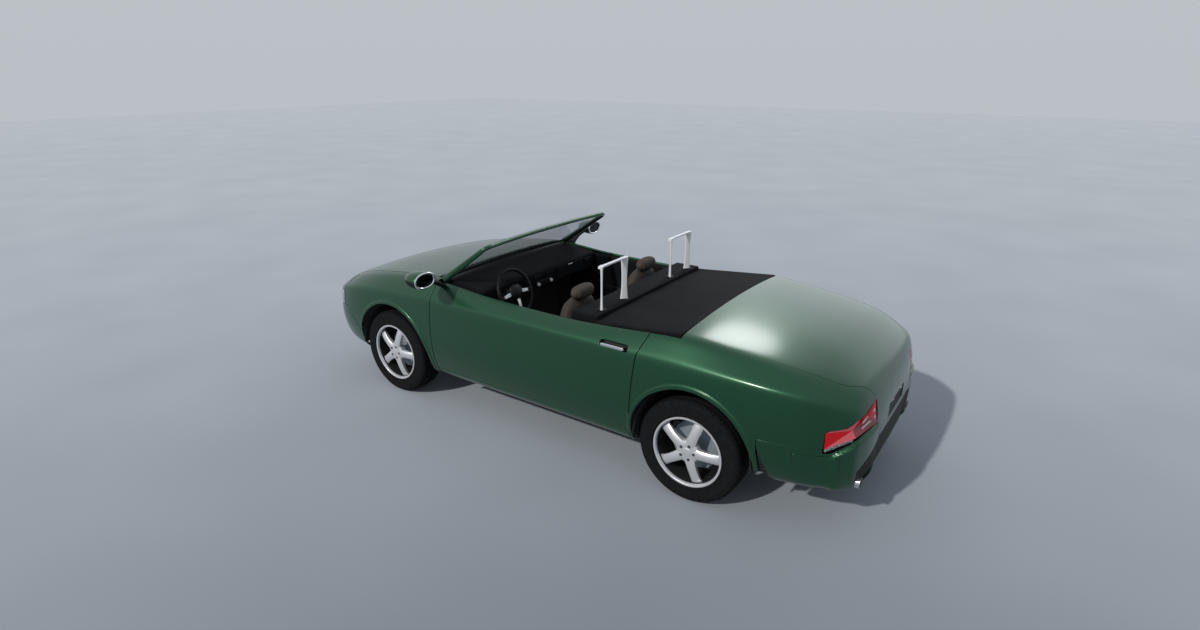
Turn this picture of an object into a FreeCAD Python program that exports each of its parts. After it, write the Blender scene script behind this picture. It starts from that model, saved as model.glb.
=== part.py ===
import FreeCAD, Part
import math
import os
from FreeCAD import Vector as V

os.makedirs("parts", exist_ok=True)

# Convertible car. Millimetres. +X forward, +Y to the driver's left, +Z up, ground at z = 0.
# Every x below is measured from the middle of the wheelbase; SHIFT carries it to the frame,
# whose origin is under the middle of the whole length.
WHEELBASE = 2640
TRACK = 1456
TYRE_R = 340
TYRE_W = 206
RIM_R = 228
NOSE_X = 2195
TAIL_X = -2285
SHIFT = -(NOSE_X + TAIL_X) / 2
AXLE_F = WHEELBASE / 2
AXLE_R = -WHEELBASE / 2
AXLE_Z = TYRE_R
ARCHES_AT = ((1290, 352, 408, 430), (-1335, 365, 398, 560))   # x, z, radius of the opening, inner y
LIP_W = 22            # raised lip round the opening
LIP_OUT = 8
LINER_GAP = 7
ARCH_N = 32            # flat sides of a round wheel opening
GAP = 5               # shut lines
SKIN = 24             # wings, quarters and bumpers
DECK = 22             # bonnet and boot lid
DOOR_IN = 745         # inner face of the doors' structure
DOOR_FRONT = 822
# rear edge of the door, from the sill up: round the arch lip, then straight and leaning back
DOOR_REAR = ((-905, 335), (-908, 380), (-916, 450), (-928, 492), (-942, 696), (-961, 886), (-1000, 1006), (-1000, 1300))
SILL_TOP = 335
JACK_X = (-760, 690)
JACK_Z = 250
SCREEN_BASE = (768, 737, 1035)
SCREEN_TOP = (320, 752, 1340)
HEADER_BOW = 45
BASE_BOW = 70
KINGPIN_Y = 700
SEAT_Y = 420
MIRROR = (657, 1014, 1106)   # middle of the glass
HOOP_X = -536
HOOP_Y = (308, 592)
HOOP_Z = (1015, 1312)

# Body sections, front to back:
# x, sill half-width and height, widest, shoulder crease, deck edge, crown height
SECTIONS = [
    # x     yb   zb   yw   zw   yc   zc   yd   zd    zt
    (2195, 290, 440, 300, 560, 290, 640, 250, 668, 680),
    (2160, 510, 385, 540, 560, 520, 687, 455, 723, 743),
    (2109, 640, 345, 680, 560, 660, 716, 578, 769, 793),
    (2024, 729, 310, 775, 570, 754, 752, 642, 815, 845),
    (1910, 770, 285, 827, 580, 805, 785, 670, 858, 890),
    (1780, 790, 272, 850, 590, 830, 812, 690, 895, 928),
    (1560, 800, 266, 864, 600, 845, 840, 712, 940, 975),
    (1200, 805, 262, 868, 600, 850, 868, 733, 988, 1020),
    (830, 805, 262, 868, 600, 850, 888, 748, 1022, 1045),
    (300, 805, 262, 868, 600, 850, 898, 757, 985, 1040),
    (-300, 805, 262, 868, 600, 850, 903, 758, 976, 1040),
    (-870, 805, 262, 868, 600, 850, 905, 756, 1006, 1048),
    (-1210, 805, 265, 868, 605, 850, 905, 745, 1038, 1072),
    (-1500, 800, 275, 866, 610, 848, 902, 733, 1013, 1052),
    (-1760, 790, 292, 856, 615, 838, 896, 712, 985, 1026),
    (-1950, 765, 300, 820, 620, 800, 882, 685, 954, 995),
    (-2110, 700, 298, 735, 620, 712, 848, 620, 903, 941),
    (-2215, 600, 305, 650, 615, 622, 796, 540, 855, 882),
    (-2262, 450, 335, 490, 600, 462, 736, 400, 781, 802),
    (-2285, 320, 368, 345, 585, 325, 688, 280, 712, 726),
]


LOWER = (0.4, 0.75, 1.0)          # where a side is sampled below and above its widest line
UPPER = (0.35, 0.7, 1.0)
CROWN = (1.0, 0.7, 0.36, 0.0)


def at(x, y, z):
    return V(x + SHIFT, y, z)


def box(x0, x1, y0, y1, z0, z1):
    return Part.makeBox(x1 - x0, y1 - y0, z1 - z0, at(x0, y0, z0))


def prism_xz(points, y0, y1):
    w = Part.makePolygon([at(x, y0, z) for x, z in points] + [at(points[0][0], y0, points[0][1])])
    return Part.Face(w).extrude(V(0, y1 - y0, 0))


def prism_xy(points, z0, z1):
    w = Part.makePolygon([at(x, y, z0) for x, y in points] + [at(points[0][0], points[0][1], z0)])
    return Part.Face(w).extrude(V(0, 0, z1 - z0))


def prism_yz(points, x0, x1):
    w = Part.makePolygon([at(x0, y, z) for y, z in points] + [at(x0, points[0][0], points[0][1])])
    return Part.Face(w).extrude(V(x1 - x0, 0, 0))


def both(points):
    """A plan outline given for the left half, closed over the right half."""
    return points + [(x, -y) for x, y in reversed(points)]


def cyl_y(x, z, r, y0, y1):
    return Part.makeCylinder(r, y1 - y0, at(x, y0, z), V(0, 1, 0))


def circle(a, b, r, n):
    """n points round (a, b), from straight up."""
    return [(a + r * math.sin(2 * math.pi * k / n), b + r * math.cos(2 * math.pi * k / n)) for k in range(n)]


def bar_x(y, z, r, x0, x1, n=16):
    return prism_yz(circle(y, z, r, n), x0, x1)


def bar_y(x, z, r, y0, y1, n=12):
    return prism_xz(circle(x, z, r, n), y0, y1)


def skin(rings):
    """A solid with flat sides through closed rings that have the same number of points."""
    faces = []
    n = len(rings[0])
    for a, b in zip(rings, rings[1:]):
        for k in range(n):
            m = (k + 1) % n
            for tri in ((a[k], a[m], b[m]), (a[k], b[m], b[k])):
                if (tri[1] - tri[0]).cross(tri[2] - tri[0]).Length > 1e-6:
                    faces.append(Part.Face(Part.makePolygon(list(tri) + [tri[0]])))
    for ring in (rings[0], rings[-1]):
        faces.append(Part.Face(Part.makePolygon(ring + ring[:1])))
    solid = Part.makeSolid(Part.makeShell(faces))
    if solid.Volume < 0:
        solid.reverse()
    return solid


def mirror(s):
    return s.mirror(V(0, 0, 0), V(0, 1, 0))


def fuse(items):
    items = list(items)
    out = items[0].multiFuse(items[1:]) if len(items) > 1 else items[0]
    return out.removeSplitter()


def drum(points, n, x, z):
    """Turns a closed (radius, y) outline about the axle as n flat sides."""
    faces = []
    for k in range(n):
        a, b = [2 * math.pi * (k + t) / n for t in (0, 1)]
        for (r0, y0), (r1, y1) in zip(points, points[1:] + points[:1]):
            c = [at(x + r0 * math.sin(a), y0, z + r0 * math.cos(a)), at(x + r1 * math.sin(a), y1, z + r1 * math.cos(a)),
                 at(x + r1 * math.sin(b), y1, z + r1 * math.cos(b)), at(x + r0 * math.sin(b), y0, z + r0 * math.cos(b))]
            c = [p for i, p in enumerate(c) if (p - c[i - 1]).Length > 1e-6]
            if len(c) > 2:
                faces.append(Part.Face(Part.makePolygon(c + c[:1])))
    solid = Part.makeSolid(Part.makeShell(faces))
    if solid.Volume < 0:
        solid.reverse()
    return solid


def outline(row, side, top, low):
    """Half of a section, from the middle of the floor round to the middle of the deck."""
    x, yb, zb, yw, zw, yc, zc, yd, zd, zt = row
    yb, yw, yc, yd = yb - side, yw - side, yc - side, yd - side * 0.55
    zb, zc, zd, zt = zb + low, zc - top * 0.45, zd - top, zt - top
    zc, zd = max(zc, zw + 20), max(zd, zc + 8)
    half = [(0, zb), (yb - 45, zb), (yb, zb + 40)]
    half += [(yw - (yw - yb) * (1 - f) ** 2, zb + 40 + (zw - zb - 40) * f) for f in LOWER]
    half += [(yw - (yw - yc) * f * f, zw + (zc - zw) * f) for f in UPPER]
    half += [(yd * f, zt - (zt - zd) * f * f) for f in CROWN]
    return half


def hull(side=0, top=0, low=0, squeeze=1.0):
    """The whole body as flat triangles between the sections; side, top and low move its faces inwards."""
    rings = []
    for row in SECTIONS:
        half = outline(row, side, top, low)
        ring = half + [(-y, z) for y, z in reversed(half[1:-1])]
        rings.append([at(row[0] * squeeze, y, z) for y, z in ring])
    n = len(rings[0])
    faces = []
    for a, b in zip(rings, rings[1:]):
        for k in range(n):
            m = (k + 1) % n
            flip = k >= n // 2
            quad = ((a[k], a[m], b[m]), (a[k], b[m], b[k])) if flip else ((a[k], a[m], b[k]), (a[m], b[m], b[k]))
            for tri in quad:
                if (tri[1] - tri[0]).cross(tri[2] - tri[0]).Length > 1e-6:
                    faces.append(Part.Face(Part.makePolygon(list(tri) + [tri[0]])))
    for ring in (rings[0], rings[-1]):
        faces.append(Part.Face(Part.makePolygon(ring + ring[:1])))
    shell = Part.makeShell(faces)
    solid = Part.makeSolid(shell)
    if solid.Volume < 0:
        solid.reverse()
    return solid


OUT = hull()
IN = hull(SKIN, DECK, 30, 0.988)
LIPS = hull(-LIP_OUT, 0, 0)
SHELL = OUT.cut(IN)

parts = {}

# ---- body panels ---------------------------------------------------------------------------
BONNET = [(868, 694), (1500, 664), (1850, 622), (1985, 540), (2058, 400), (2092, 200)]
LID = [(-1213, 700), (-1700, 676), (-1950, 639), (-2102, 573), (-2186, 467), (-2300, 411)]


bonnet_out = prism_xy(both(BONNET), 700, 1200)
bonnet_hole = prism_xy(both([(850, 701), (868, 701), (1500, 671), (1854, 629),
                             (1994, 546), (2068, 407), (2104, 207)]), 600, 1300)
parts["bonnet"] = SHELL.common(bonnet_out)

lid_tail = box(-2400, -2150, -409, 409, 572, 860)
lid_tail_hole = box(-2400, -2150, -412 - GAP, 412 + GAP, 566, 860)
lid_deck = prism_xy(both(LID), 808, 1200)
lid_hole = prism_xy(both([(-1206, 706), (-1700, 682), (-1952, 646), (-2111, 580), (-2197, 475), (-2300, 425)]), 800, 1300)
parts["boot_lid"] = SHELL.common(lid_deck.fuse(lid_tail))

arches = [bar_y(x, z, r, y0 - 20, 900, ARCH_N) for x, z, r, y0 in ARCHES_AT]
arches += [mirror(a) for a in arches]
ARCHES = Part.makeCompound(arches)

cowl_hole = box(700, 868, -700, 700, 900, 1300)
BUMPER_F = [(1860, 630), (1902, 630), (1902, 1300), (2600, 1300), (2600, 0), (1690, 0), (1725, 470)]
BUMPER_R = [(-1752, 525), (-1750, 588), (-2110, 588), (-2150, 650), (-2400, 662), (-2400, 0), (-1798, 0), (-1806, 380)]


def shifted(points, dx, dz=0):
    return [(x + dx, z + dz) for x, z in points]


LAMP_F = [(1930, 640), (1930, 742), (2230, 742), (2230, 620), (2010, 610)]
lamp_f_box = prism_xz(LAMP_F, 395, 900)
lamp_f_hole = prism_xz([(1925, 635), (1925, 747), (2235, 747), (2235, 614), (2008, 605)], 390, 900)
LAMP_R = [(-2092, 690), (-2175, 712), (-2235, 760), (-2262, 812), (-2400, 812), (-2400, 660), (-2235, 652), (-2120, 566), (-2085, 566)]
lamp_r_box = prism_xz(LAMP_R, 422, 900)
lamp_r_hole = prism_xz([(-2080, 694), (-2173, 717), (-2230, 764), (-2256, 818), (-2400, 818), (-2400, 655), (-2238, 647), (-2121, 560), (-2080, 560)], 417, 900)
holes = Part.makeCompound([bonnet_hole, lid_hole, lid_tail_hole, cowl_hole,
                           lamp_f_hole, mirror(lamp_f_hole), lamp_r_hole, mirror(lamp_r_hole)])

cabin_hole = box(-1208, 760, -750, 750, 700, 1300)
side_front = prism_xz([(DOOR_FRONT + GAP, 1300), (DOOR_FRONT + GAP, SILL_TOP + 2), (DOOR_FRONT + GAP, 0),
                       (1690, 0), (1720, 470), (1855, 636), (1897, 636), (1897, 1300)], 300, 1000)
panel = SHELL.cut(ARCHES).cut(holes).cut(cabin_hole)
under = box(-1760, 1720, -690, 690, 200, 345)
parts["wing_left"] = panel.cut(under).common(side_front)
side_rear = prism_xz([(x - GAP - 1, z) for x, z in DOOR_REAR] + [(-2400, 1300),
                      (-2400, 667), (-2148, 655), (-2108, 593), (-1745, 593), (-1745, 505), (-1645, 0), (DOOR_REAR[0][0] - GAP - 1, 0)], 300, 1000)
parts["quarter_left"] = panel.cut(under).common(side_rear).cut(box(-2300, -2170, 0, 417, 500, 800))


def lip(x, z, r, y0):
    ring = bar_y(x, z, r + LIP_W, 800, 900, ARCH_N).cut(bar_y(x, z, r, 790, 910, ARCH_N))
    return LIPS.common(ring).cut(OUT).common(box(-3000, 3000, 790, 950, 296, 1000))


front_lip, rear_lip = [lip(*a) for a in ARCHES_AT]
parts["wing_left"] = fuse([parts["wing_left"], front_lip])
parts["quarter_left"] = fuse([parts["quarter_left"], rear_lip])

bumper_cut = prism_xz(BUMPER_F, -1000, 1000)
parts["front_bumper"] = panel.common(bumper_cut).cut(prism_xz([(1860, 630), (1902, 630), (1902, 2000), (1700, 2000), (1700, 630)], -1000, 1000))
rear_cut = prism_xz(BUMPER_R, -1000, 1000)
# dark insert under the plate, between the tail's painted corners
INSERT = [(-300, 372), (300, 372), (600, 318), (622, 440), (430, 545), (-430, 545), (-622, 440), (-600, 318)]
insert_hole = prism_yz(INSERT, -2400, -2150)
insert_body = prism_yz([(y * 0.992, 455 + (z - 455) * 0.965) for y, z in INSERT], -2400, -2150)
parts["rear_bumper"] = panel.common(rear_cut).cut(insert_hole)
parts["rear_insert"] = SHELL.common(insert_body)
# rubbing strip let into each side of the rear bumper
strip = prism_xz([(-1937, 478), (-1937, 548), (-2168, 540), (-2168, 460)], -900, 900)
groove = prism_xz([(-1932, 473), (-1932, 553), (-2173, 545), (-2173, 455)], -900, 900)
thin = OUT.cut(hull(4, 4, 4, 1.0))
parts["rear_bumper"] = parts["rear_bumper"].cut(thin.common(groove.cut(strip)))

# grille openings, front and rear valance
GRILLE = [(-330, 470), (330, 470), (360, 560), (300, 610), (-300, 610), (-360, 560)]
grille_hole = prism_yz(GRILLE, 2000, 2300)
parts["front_bumper"] = parts["front_bumper"].cut(grille_hole)

# ---- doors ---------------------------------------------------------------------------------
door_side = prism_xz([(DOOR_FRONT, SILL_TOP), (DOOR_FRONT, 1300)] + list(reversed(DOOR_REAR)), DOOR_IN, 1000)
door = OUT.common(door_side)
# the inner rear edge is set forward so that it clears as the door swings
door = door.cut(prism_xz([(x + 9, z) for x, z in DOOR_REAR] + [(-1100, 1300), (-1100, 335)], 700, 832))
door = door.cut(box(DOOR_FRONT - 75, 1000, 700, 760, 985, 1300))
door = door.cut(box(-893, -704, 825, 900, 891, 925))
parts["door_left"] = door
parts["door_trim_left"] = box(-470, 690, 705, DOOR_IN - 1, 380, 962).fuse(box(-300, 350, 680, 705, 640, 700))

sill = OUT.common(box(-900, 822, 700, 900, 200, SILL_TOP - GAP)).cut(ARCHES)
sill = fuse([sill] + [box(x - 45, x + 45, 730, 775, JACK_Z, 270) for x in JACK_X])
parts["sills"] = Part.makeCompound([sill, mirror(sill)])

# ---- structure -----------------------------------------------------------------------------
floor = [box(-900, 880, -695, 695, 236, 262), box(-874, 700, -120, 120, 262, 420),
         box(862, 880, -690, 690, 263, 930), box(-900, -874, -690, 690, 262, 900),
         box(-2080, -901, -520, 520, 400, 420)]
tunnel_hollow = box(-874, 690, -90, 90, 262, 390)
rails = [box(886, 2020, 290, 350, 380, 480), box(886, 2020, -350, -290, 380, 480), box(2021, 2050, -600, 600, 470, 570),
         box(-1790, -901, 440, 500, 330, 399), box(-1790, -901, -500, -440, 330, 399), box(-2112, -2081, -540, 540, 400, 490)]
parts["floor_pan"] = fuse(floor).cut(tunnel_hollow)
liners = []
for x, z, r, y0 in ARCHES_AT:
    s = drum([(r - 9, y0), (r - 9, 832), (r - 3, 832), (r - 3, y0)], 20, x, z).common(box(x - 500, x + 500, 0, 1000, 345, 900))
    liners += [s, mirror(s)]
flap = hull(14, 14, 14).common(prism_xz([(-1741, 348), (-1754, 470), (-1753, 512), (-1801, 382), (-1797, 348)], 700, 900))
liners += [flap, mirror(flap)]
parts["arch_liners"] = Part.makeCompound(liners)
parts["cowl_panel"] = box(772, 862, -690, 690, 985, 1012)
parts["grille"] = prism_yz([(y * 0.985, 540 + (z - 540) * 0.97) for y, z in GRILLE], 2110, 2130)
parts["headlamps"] = Part.makeCompound([SHELL.common(lamp_f_box), SHELL.common(mirror(lamp_f_box))])
parts["tail_lamps"] = Part.makeCompound([SHELL.common(lamp_r_box), SHELL.common(mirror(lamp_r_box))])
parts["engine_block"] = Part.makeCompound([box(1180, 1700, -240, 240, 420, 830), box(890, 1175, -80, 80, 262, 380)])

# ---- cabin ---------------------------------------------------------------------------------
dash = prism_xz([(430, 985), (760, 1015), (760, 840), (430, 850)], -690, 690)
tonneau = prism_xz([(-586, 997), (-586, 950), (-1204, 985), (-1204, 1052)], -735, 735)
HEAD_X = -262
parts["centre_console"] = box(-450, 600, -95, 95, 421, 560)
cush = prism_xz([(-180, 400), (330, 430), (340, 540), (-180, 500)], SEAT_Y - 250, SEAT_Y + 250)
# height, half width, front and rear of the seat back's sections
BACK = ((400, 235, -130, -250), (560, 252, -120, -262), (760, 245, -148, -288), (900, 205, -158, -288), (985, 162, -168, -280), (1040, 118, -182, -262))


def back_ring(z, w, front, rear):
    e = 38
    pts = [(front, w - e - 14), (front - e, w), (rear + e, w), (rear, w - e), (rear, e - w), (rear + e, -w), (front - e, -w), (front, e + 14 - w)]
    return [at(x, SEAT_Y + y, z) for x, y in pts]


back = skin([back_ring(*row) for row in BACK])
roll = [(62 * math.cos(math.radians(22.5 + 45 * k)), 62 * math.sin(math.radians(22.5 + 45 * k))) for k in range(8)]
head = prism_xz([(HEAD_X + a, 1046 + b) for a, b in roll], SEAT_Y - 128, SEAT_Y + 128)
back = back.cut(prism_xz([(HEAD_X + a * 1.05, 1046 + b * 1.05) for a, b in roll], SEAT_Y - 200, SEAT_Y + 200))
base = box(-150, 280, SEAT_Y - 180, SEAT_Y + 180, 263, 398)
parts["seat_left"] = Part.makeCompound([fuse([cush, back, base]), head])
wheel_c = at(362, 420, 925)
tilt = V(math.cos(math.radians(22)), 0, -math.sin(math.radians(22)))
turn = FreeCAD.Placement(wheel_c, FreeCAD.Rotation(V(0, 1, 0), tilt))
rim = drum([(180, 0), (174, 12), (161, 12), (154, 0), (161, -12), (174, -12)], 20, -SHIFT, 0)
hub = drum([(0, -14), (56, -14), (56, 10), (44, 34), (0, 34)], 8, -SHIFT, 0)
for item in (rim, hub):
    item.Placement = turn
spoke = [Part.makeBox(140, 30, 12, V(0, -15, -6))]
bars = []
for a in (0, 180, 270):
    b = Part.makeBox(125, 34, 12, V(40, -17, 0))
    b.rotate(V(0, 0, 0), V(0, 0, 1), a)
    bars.append(b)
bars = Part.makeCompound(bars)
bars.Placement = FreeCAD.Placement(wheel_c, FreeCAD.Rotation(V(0, 1, 0), V(0, 0, 1), tilt, "ZXY"))
parts["steering_wheel"] = fuse([rim, hub] + bars.Solids)
column = drum([(0, -41), (30, -41), (30, -190), (0, -190)], 8, -SHIFT, 0)
column.Placement = turn
if column.BoundBox.XMin < wheel_c.x:
    column = drum([(0, 41), (30, 41), (30, 190), (0, 190)], 8, -SHIFT, 0)
    column.Placement = turn
parts["dashboard"] = fuse([dash, column])

# ---- windscreen ----------------------------------------------------------------------------
def screen_point(u, v):
    """u across -1..1, v up the glass 0..1."""
    x = SCREEN_BASE[0] + (SCREEN_TOP[0] - SCREEN_BASE[0]) * v + (BASE_BOW + (HEADER_BOW - BASE_BOW) * v) * (1 - u * u)
    y = u * (SCREEN_BASE[1] + (SCREEN_TOP[1] - SCREEN_BASE[1]) * v - 20)
    z = SCREEN_BASE[2] + (SCREEN_TOP[2] - SCREEN_BASE[2]) * v
    return (x, y, z)


def slab(u0, u1, v0, v1, low, high):
    n = V(math.hypot(SCREEN_TOP[0] - SCREEN_BASE[0], SCREEN_TOP[2] - SCREEN_BASE[2]) / (SCREEN_TOP[2] - SCREEN_BASE[2]), 0, 0)
    steps = 10 if abs(u1 - u0) > 0.3 else 1
    rings = []
    for v in (v0, v1):
        pts = [at(*screen_point(u0 + (u1 - u0) * k / steps, v)) for k in range(steps + 1)]
        rings.append([p + n * low for p in pts] + [p + n * high for p in reversed(pts)])
    return skin(rings)


glass = slab(-0.94, 0.94, 0.03, 0.95, -3, 3)
frame_ = fuse([slab(-1.0, 1.0, 0.955, 1.0, -14, 12), slab(0.945, 1.0, -0.02, 0.97, -20, 16),
               slab(-1.0, -0.945, -0.02, 0.97, -20, 16)])
parts["windscreen_glass"] = glass
parts["windscreen_frame"] = frame_

hoops = []


def blade(y, lean, z, long, thick):
    """A leg's outline at height z: a flat blade turned back by lean degrees."""
    ca, sa = math.cos(math.radians(lean)), math.sin(math.radians(lean))
    pts = [(-long, thick), (long, thick), (long, -thick), (-long, -thick)]
    pts = [at(HOOP_X - a * ca - b * sa, y + a * sa - b * ca, z) for a, b in pts]
    return pts


for s in (1, -1):
    a, b = (HOOP_Y[0], HOOP_Y[1]) if s > 0 else (-HOOP_Y[1], -HOOP_Y[0])
    legs = []
    for y, lean in ((a + 8, -54), (b - 8, 54)):
        rows = [(HOOP_Z[0], 24, 9), (HOOP_Z[0] + 60, 19, 7), (HOOP_Z[0] + 150, 16, 6), (HOOP_Z[1] - 50, 20, 7), (HOOP_Z[1] - 3, 26, 9)]
        legs.append(skin([blade(y, lean, z, l, t) for z, l, t in rows]))
    bar = skin([[at(HOOP_X + x, y, z) for x, z in [(-w, HOOP_Z[1]), (w, HOOP_Z[1]), (w - 3, HOOP_Z[1] - d), (3 - w, HOOP_Z[1] - d)]]
                for y, w, d in ((a - 14, 14, 20), (a + 40, 11, 15), (b - 40, 11, 15), (b + 14, 14, 20))])
    hoops.append(fuse(legs + [bar]))
parts["roll_hoops"] = Part.makeCompound(hoops)
parts["tonneau_cover"] = Part.makeCompound([tonneau, box(-584, -380, -700, 700, 950, 1014)])

# ---- mirrors, handles, plates, exhaust -----------------------------------------------------
def oval(x, half_y, half_z, n=12):
    return [at(x, MIRROR[1] + half_y * math.cos(2 * math.pi * k / n), MIRROR[2] + half_z * math.sin(2 * math.pi * k / n)) for k in range(n)]


housing = skin([oval(MIRROR[0] + d, 96 * f, 59 * f) for d, f in ((0, 0.98), (40, 1.0), (90, 0.91), (130, 0.68), (160, 0.16))])
well = skin([oval(MIRROR[0] - 1, 80, 46), oval(MIRROR[0] + 14, 74, 41)])
housing = housing.cut(well)
pane = skin([oval(MIRROR[0] + 5, 72, 39), oval(MIRROR[0] + 10, 72, 39)])
arm = prism_yz([(776, 985), (812, 1010), (925, 1062), (960, 1075), (960, 1098), (915, 1088), (790, 1038), (764, 1030)], 728, 766)
parts["door_mirror_left"] = Part.makeCompound([fuse([housing, arm.cut(OUT)]), pane])
parts["door_handle_left"] = fuse([box(-885, -712, 848, 866, 899, 917), box(-882, -868, 826, 850, 902, 914), box(-729, -715, 826, 850, 902, 914)])
plate_hole = box(-2400, -2262, -185, 185, 578, 672)
parts["boot_lid"] = parts["boot_lid"].cut(box(-2400, -2274, -185, 185, 580, 672))
parts["number_plate_front"] = box(2196, 2199, -180, 180, 470, 560)
parts["number_plate_rear"] = box(-2277, -2274, -176, 176, 588, 664)
tips = [bar_x(s * 566, 346, 32, -2262, -2120, 12).cut(bar_x(s * 566, 346, 28, -2262, -2200, 12)) for s in (1, -1)]
notch = Part.makeCompound([bar_x(s * 566, 346, 40, -2300, -2060) for s in (1, -1)])
for name in ("rear_bumper", "rear_insert"):
    parts[name] = parts[name].cut(notch)
parts["exhaust"] = Part.makeCompound(tips + [box(-2040, -1810, -420, 420, 200, 290), bar_x(0, 206, 26, -1805, 1100, 12)])
parts["underframe"] = Part.makeCompound(rails +
    [bar_y(AXLE_F, 300, 18, min(s * 360, s * 585), max(s * 360, s * 585)) for s in (1, -1)]
    + [bar_y(AXLE_R, 300, 24, min(s * 300, s * 590), max(s * 300, s * 590)) for s in (1, -1)]
    + [box(AXLE_F - 90, AXLE_F + 90, -360, 360, 250, 320), box(AXLE_R - 90, AXLE_R + 90, -300, 300, 250, 320)]
    + [box(AXLE_R + 60, AXLE_R + 145, s - 30, s + 30, AXLE_Z - 40, AXLE_Z + 60) for s in (630, -630)])

# ---- wheels --------------------------------------------------------------------------------
FACE = TRACK / 2 + TYRE_W / 2
# radius and height of a spoke's side, then half-width and radius of its face
SPOKE_SIDE = [(50, FACE - 9), (130, FACE - 7), (208, FACE - 26), (208, FACE - 52), (100, FACE - 38), (50, FACE - 44)]
SPOKE_FACE = [(-31, 50), (-27, 140), (-38, 212), (38, 212), (27, 140), (31, 50)]
def wheel(x, tag):
    c, h = TRACK / 2, TYRE_W / 2
    face = c + h
    tyre = drum([(216, c - h + 18), (245, c - h), (314, c - h + 1), (340, c - h + 36), (340, c + h - 36), (314, c + h - 1),
                 (245, c + h), (216, c + h - 18)], 36, x, AXLE_Z)
    barrel = drum([(229, c - h + 1), (215, c - h + 17), (215, face - 17), (229, face - 1), (203, face - 28), (203, c - h + 1)], 16, x, AXLE_Z)
    hub = drum([(0, face - 2), (34, face - 3), (66, face - 14), (68, face - 50), (56, c + 10), (0, c + 10)], 8, x, AXLE_Z)
    spokes = []
    for k in range(5):
        side = Part.Face(Part.makePolygon([at(x - 45, y, AXLE_Z + r) for r, y in SPOKE_SIDE + SPOKE_SIDE[:1]])).extrude(V(90, 0, 0))
        plan = Part.Face(Part.makePolygon([at(x + w, 600, AXLE_Z + r) for w, r in SPOKE_FACE + SPOKE_FACE[:1]])).extrude(V(0, 260, 0))
        s = side.common(plan)
        s.rotate(at(x, 0, AXLE_Z), V(0, 1, 0), 36 + 72 * k)
        spokes.append(s)
    rim = fuse([barrel, hub] + spokes)
    disc = drum([(0, c - 60), (65, c - 60), (65, c - 45), (155, c - 45), (155, c - 20), (65, c - 20), (65, c + 9), (0, c + 9)], 12, x, AXLE_Z)
    return tyre, rim, disc


for x, end in ((AXLE_F, "front"), (AXLE_R, "rear")):
    tyre, rim_, disc = wheel(x, end)
    for side, f in (("left", lambda s: s), ("right", mirror)):
        parts["tyre_%s_%s" % (end, side)] = f(tyre)
        parts["rim_%s_%s" % (end, side)] = Part.makeCompound([f(rim_), f(disc)])
knuckle = fuse([drum([(0, 605), (45, 605), (45, TRACK / 2 - 67), (0, TRACK / 2 - 67)], 12, AXLE_F, AXLE_Z), box(AXLE_F - 25, AXLE_F + 25, 610, 640, 260, 480),
                box(AXLE_F - 150, AXLE_F - 70, 641, 700, AXLE_Z - 40, AXLE_Z + 60).cut(box(AXLE_F - 165, AXLE_F - 60, 678, 715, AXLE_Z - 80, AXLE_Z + 80)),
                box(AXLE_F - 100, AXLE_F, 618, 650, AXLE_Z - 20, AXLE_Z + 20)])
parts["knuckle_left"] = knuckle

for name in [n for n in parts if n.endswith("_left") and not n.startswith(("tyre", "rim"))]:
    parts[name.replace("_left", "_right")] = mirror(parts[name])

for name, shape in parts.items():
    shape.exportStep("parts/%s.step" % name)
    b = shape.BoundBox
    print(name, len(shape.Solids), shape.isValid(), [round(v) for v in (b.XMin, b.XMax, b.YMin, b.YMax, b.ZMin, b.ZMax)])
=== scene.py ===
import math

import bmesh
import bpy
import numpy as np
from bpy.props import FloatProperty, FloatVectorProperty, IntProperty
from mathutils import Matrix, Vector
from mathutils.geometry import delaunay_2d_cdt


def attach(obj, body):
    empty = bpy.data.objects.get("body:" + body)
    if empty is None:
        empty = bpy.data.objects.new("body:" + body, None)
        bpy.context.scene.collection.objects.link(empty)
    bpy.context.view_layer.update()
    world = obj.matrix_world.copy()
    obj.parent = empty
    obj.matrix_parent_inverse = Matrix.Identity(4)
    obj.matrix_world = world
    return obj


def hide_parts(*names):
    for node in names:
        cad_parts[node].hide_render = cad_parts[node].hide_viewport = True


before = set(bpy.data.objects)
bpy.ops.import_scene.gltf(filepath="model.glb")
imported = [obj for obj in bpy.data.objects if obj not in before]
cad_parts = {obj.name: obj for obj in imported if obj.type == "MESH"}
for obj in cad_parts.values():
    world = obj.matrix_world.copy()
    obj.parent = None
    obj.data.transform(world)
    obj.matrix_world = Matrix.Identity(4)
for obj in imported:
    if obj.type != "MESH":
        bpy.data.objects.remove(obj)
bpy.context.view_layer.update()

bl_info = {
    "name": "Open tourer",
    "version": (1, 0, 0),
    "blender": (4, 5, 0),
    "location": "View3D > Sidebar > Open tourer",
    "description": "Dresses an open four-seat car: painted panels, wheels, glass, lamps and trim",
    "category": "Object",
}

PAINT, BLACK, VINYL, CHROME = "racing_green_clearcoat", "textured_black_plastic", "grained_black_vinyl", "bright_chrome"
ZINC, CARPET, LEATHER, FROSTED = "zinc_plated_steel", "black_needle_carpet", "taupe_leather", "frosted_light_bar"
SIDES = (("left", False), ("right", True))


# ---- small helpers ------------------------------------------------------------------------------
def linear(code):
    """sRGB hex to a linear colour."""
    c = [int(code[i:i + 2], 16) / 255 for i in (1, 3, 5)]
    return tuple(v / 12.92 if v <= 0.04045 else ((v + 0.055) / 1.055) ** 2.4 for v in c) + (1.0,)


def turn(n):
    """Angles of n equal steps round a circle."""
    return np.arange(n) * 2 * math.pi / n


def cosine(t, power=1.0):
    """A cosine raised to a power with its sign kept; a power below 1 squares a circle off."""
    c = math.cos(t)
    return math.copysign(abs(c) ** power, c)


def sine(t, power=1.0):
    """A sine raised to a power with its sign kept."""
    s = math.sin(t)
    return math.copysign(abs(s) ** power, s)


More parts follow.
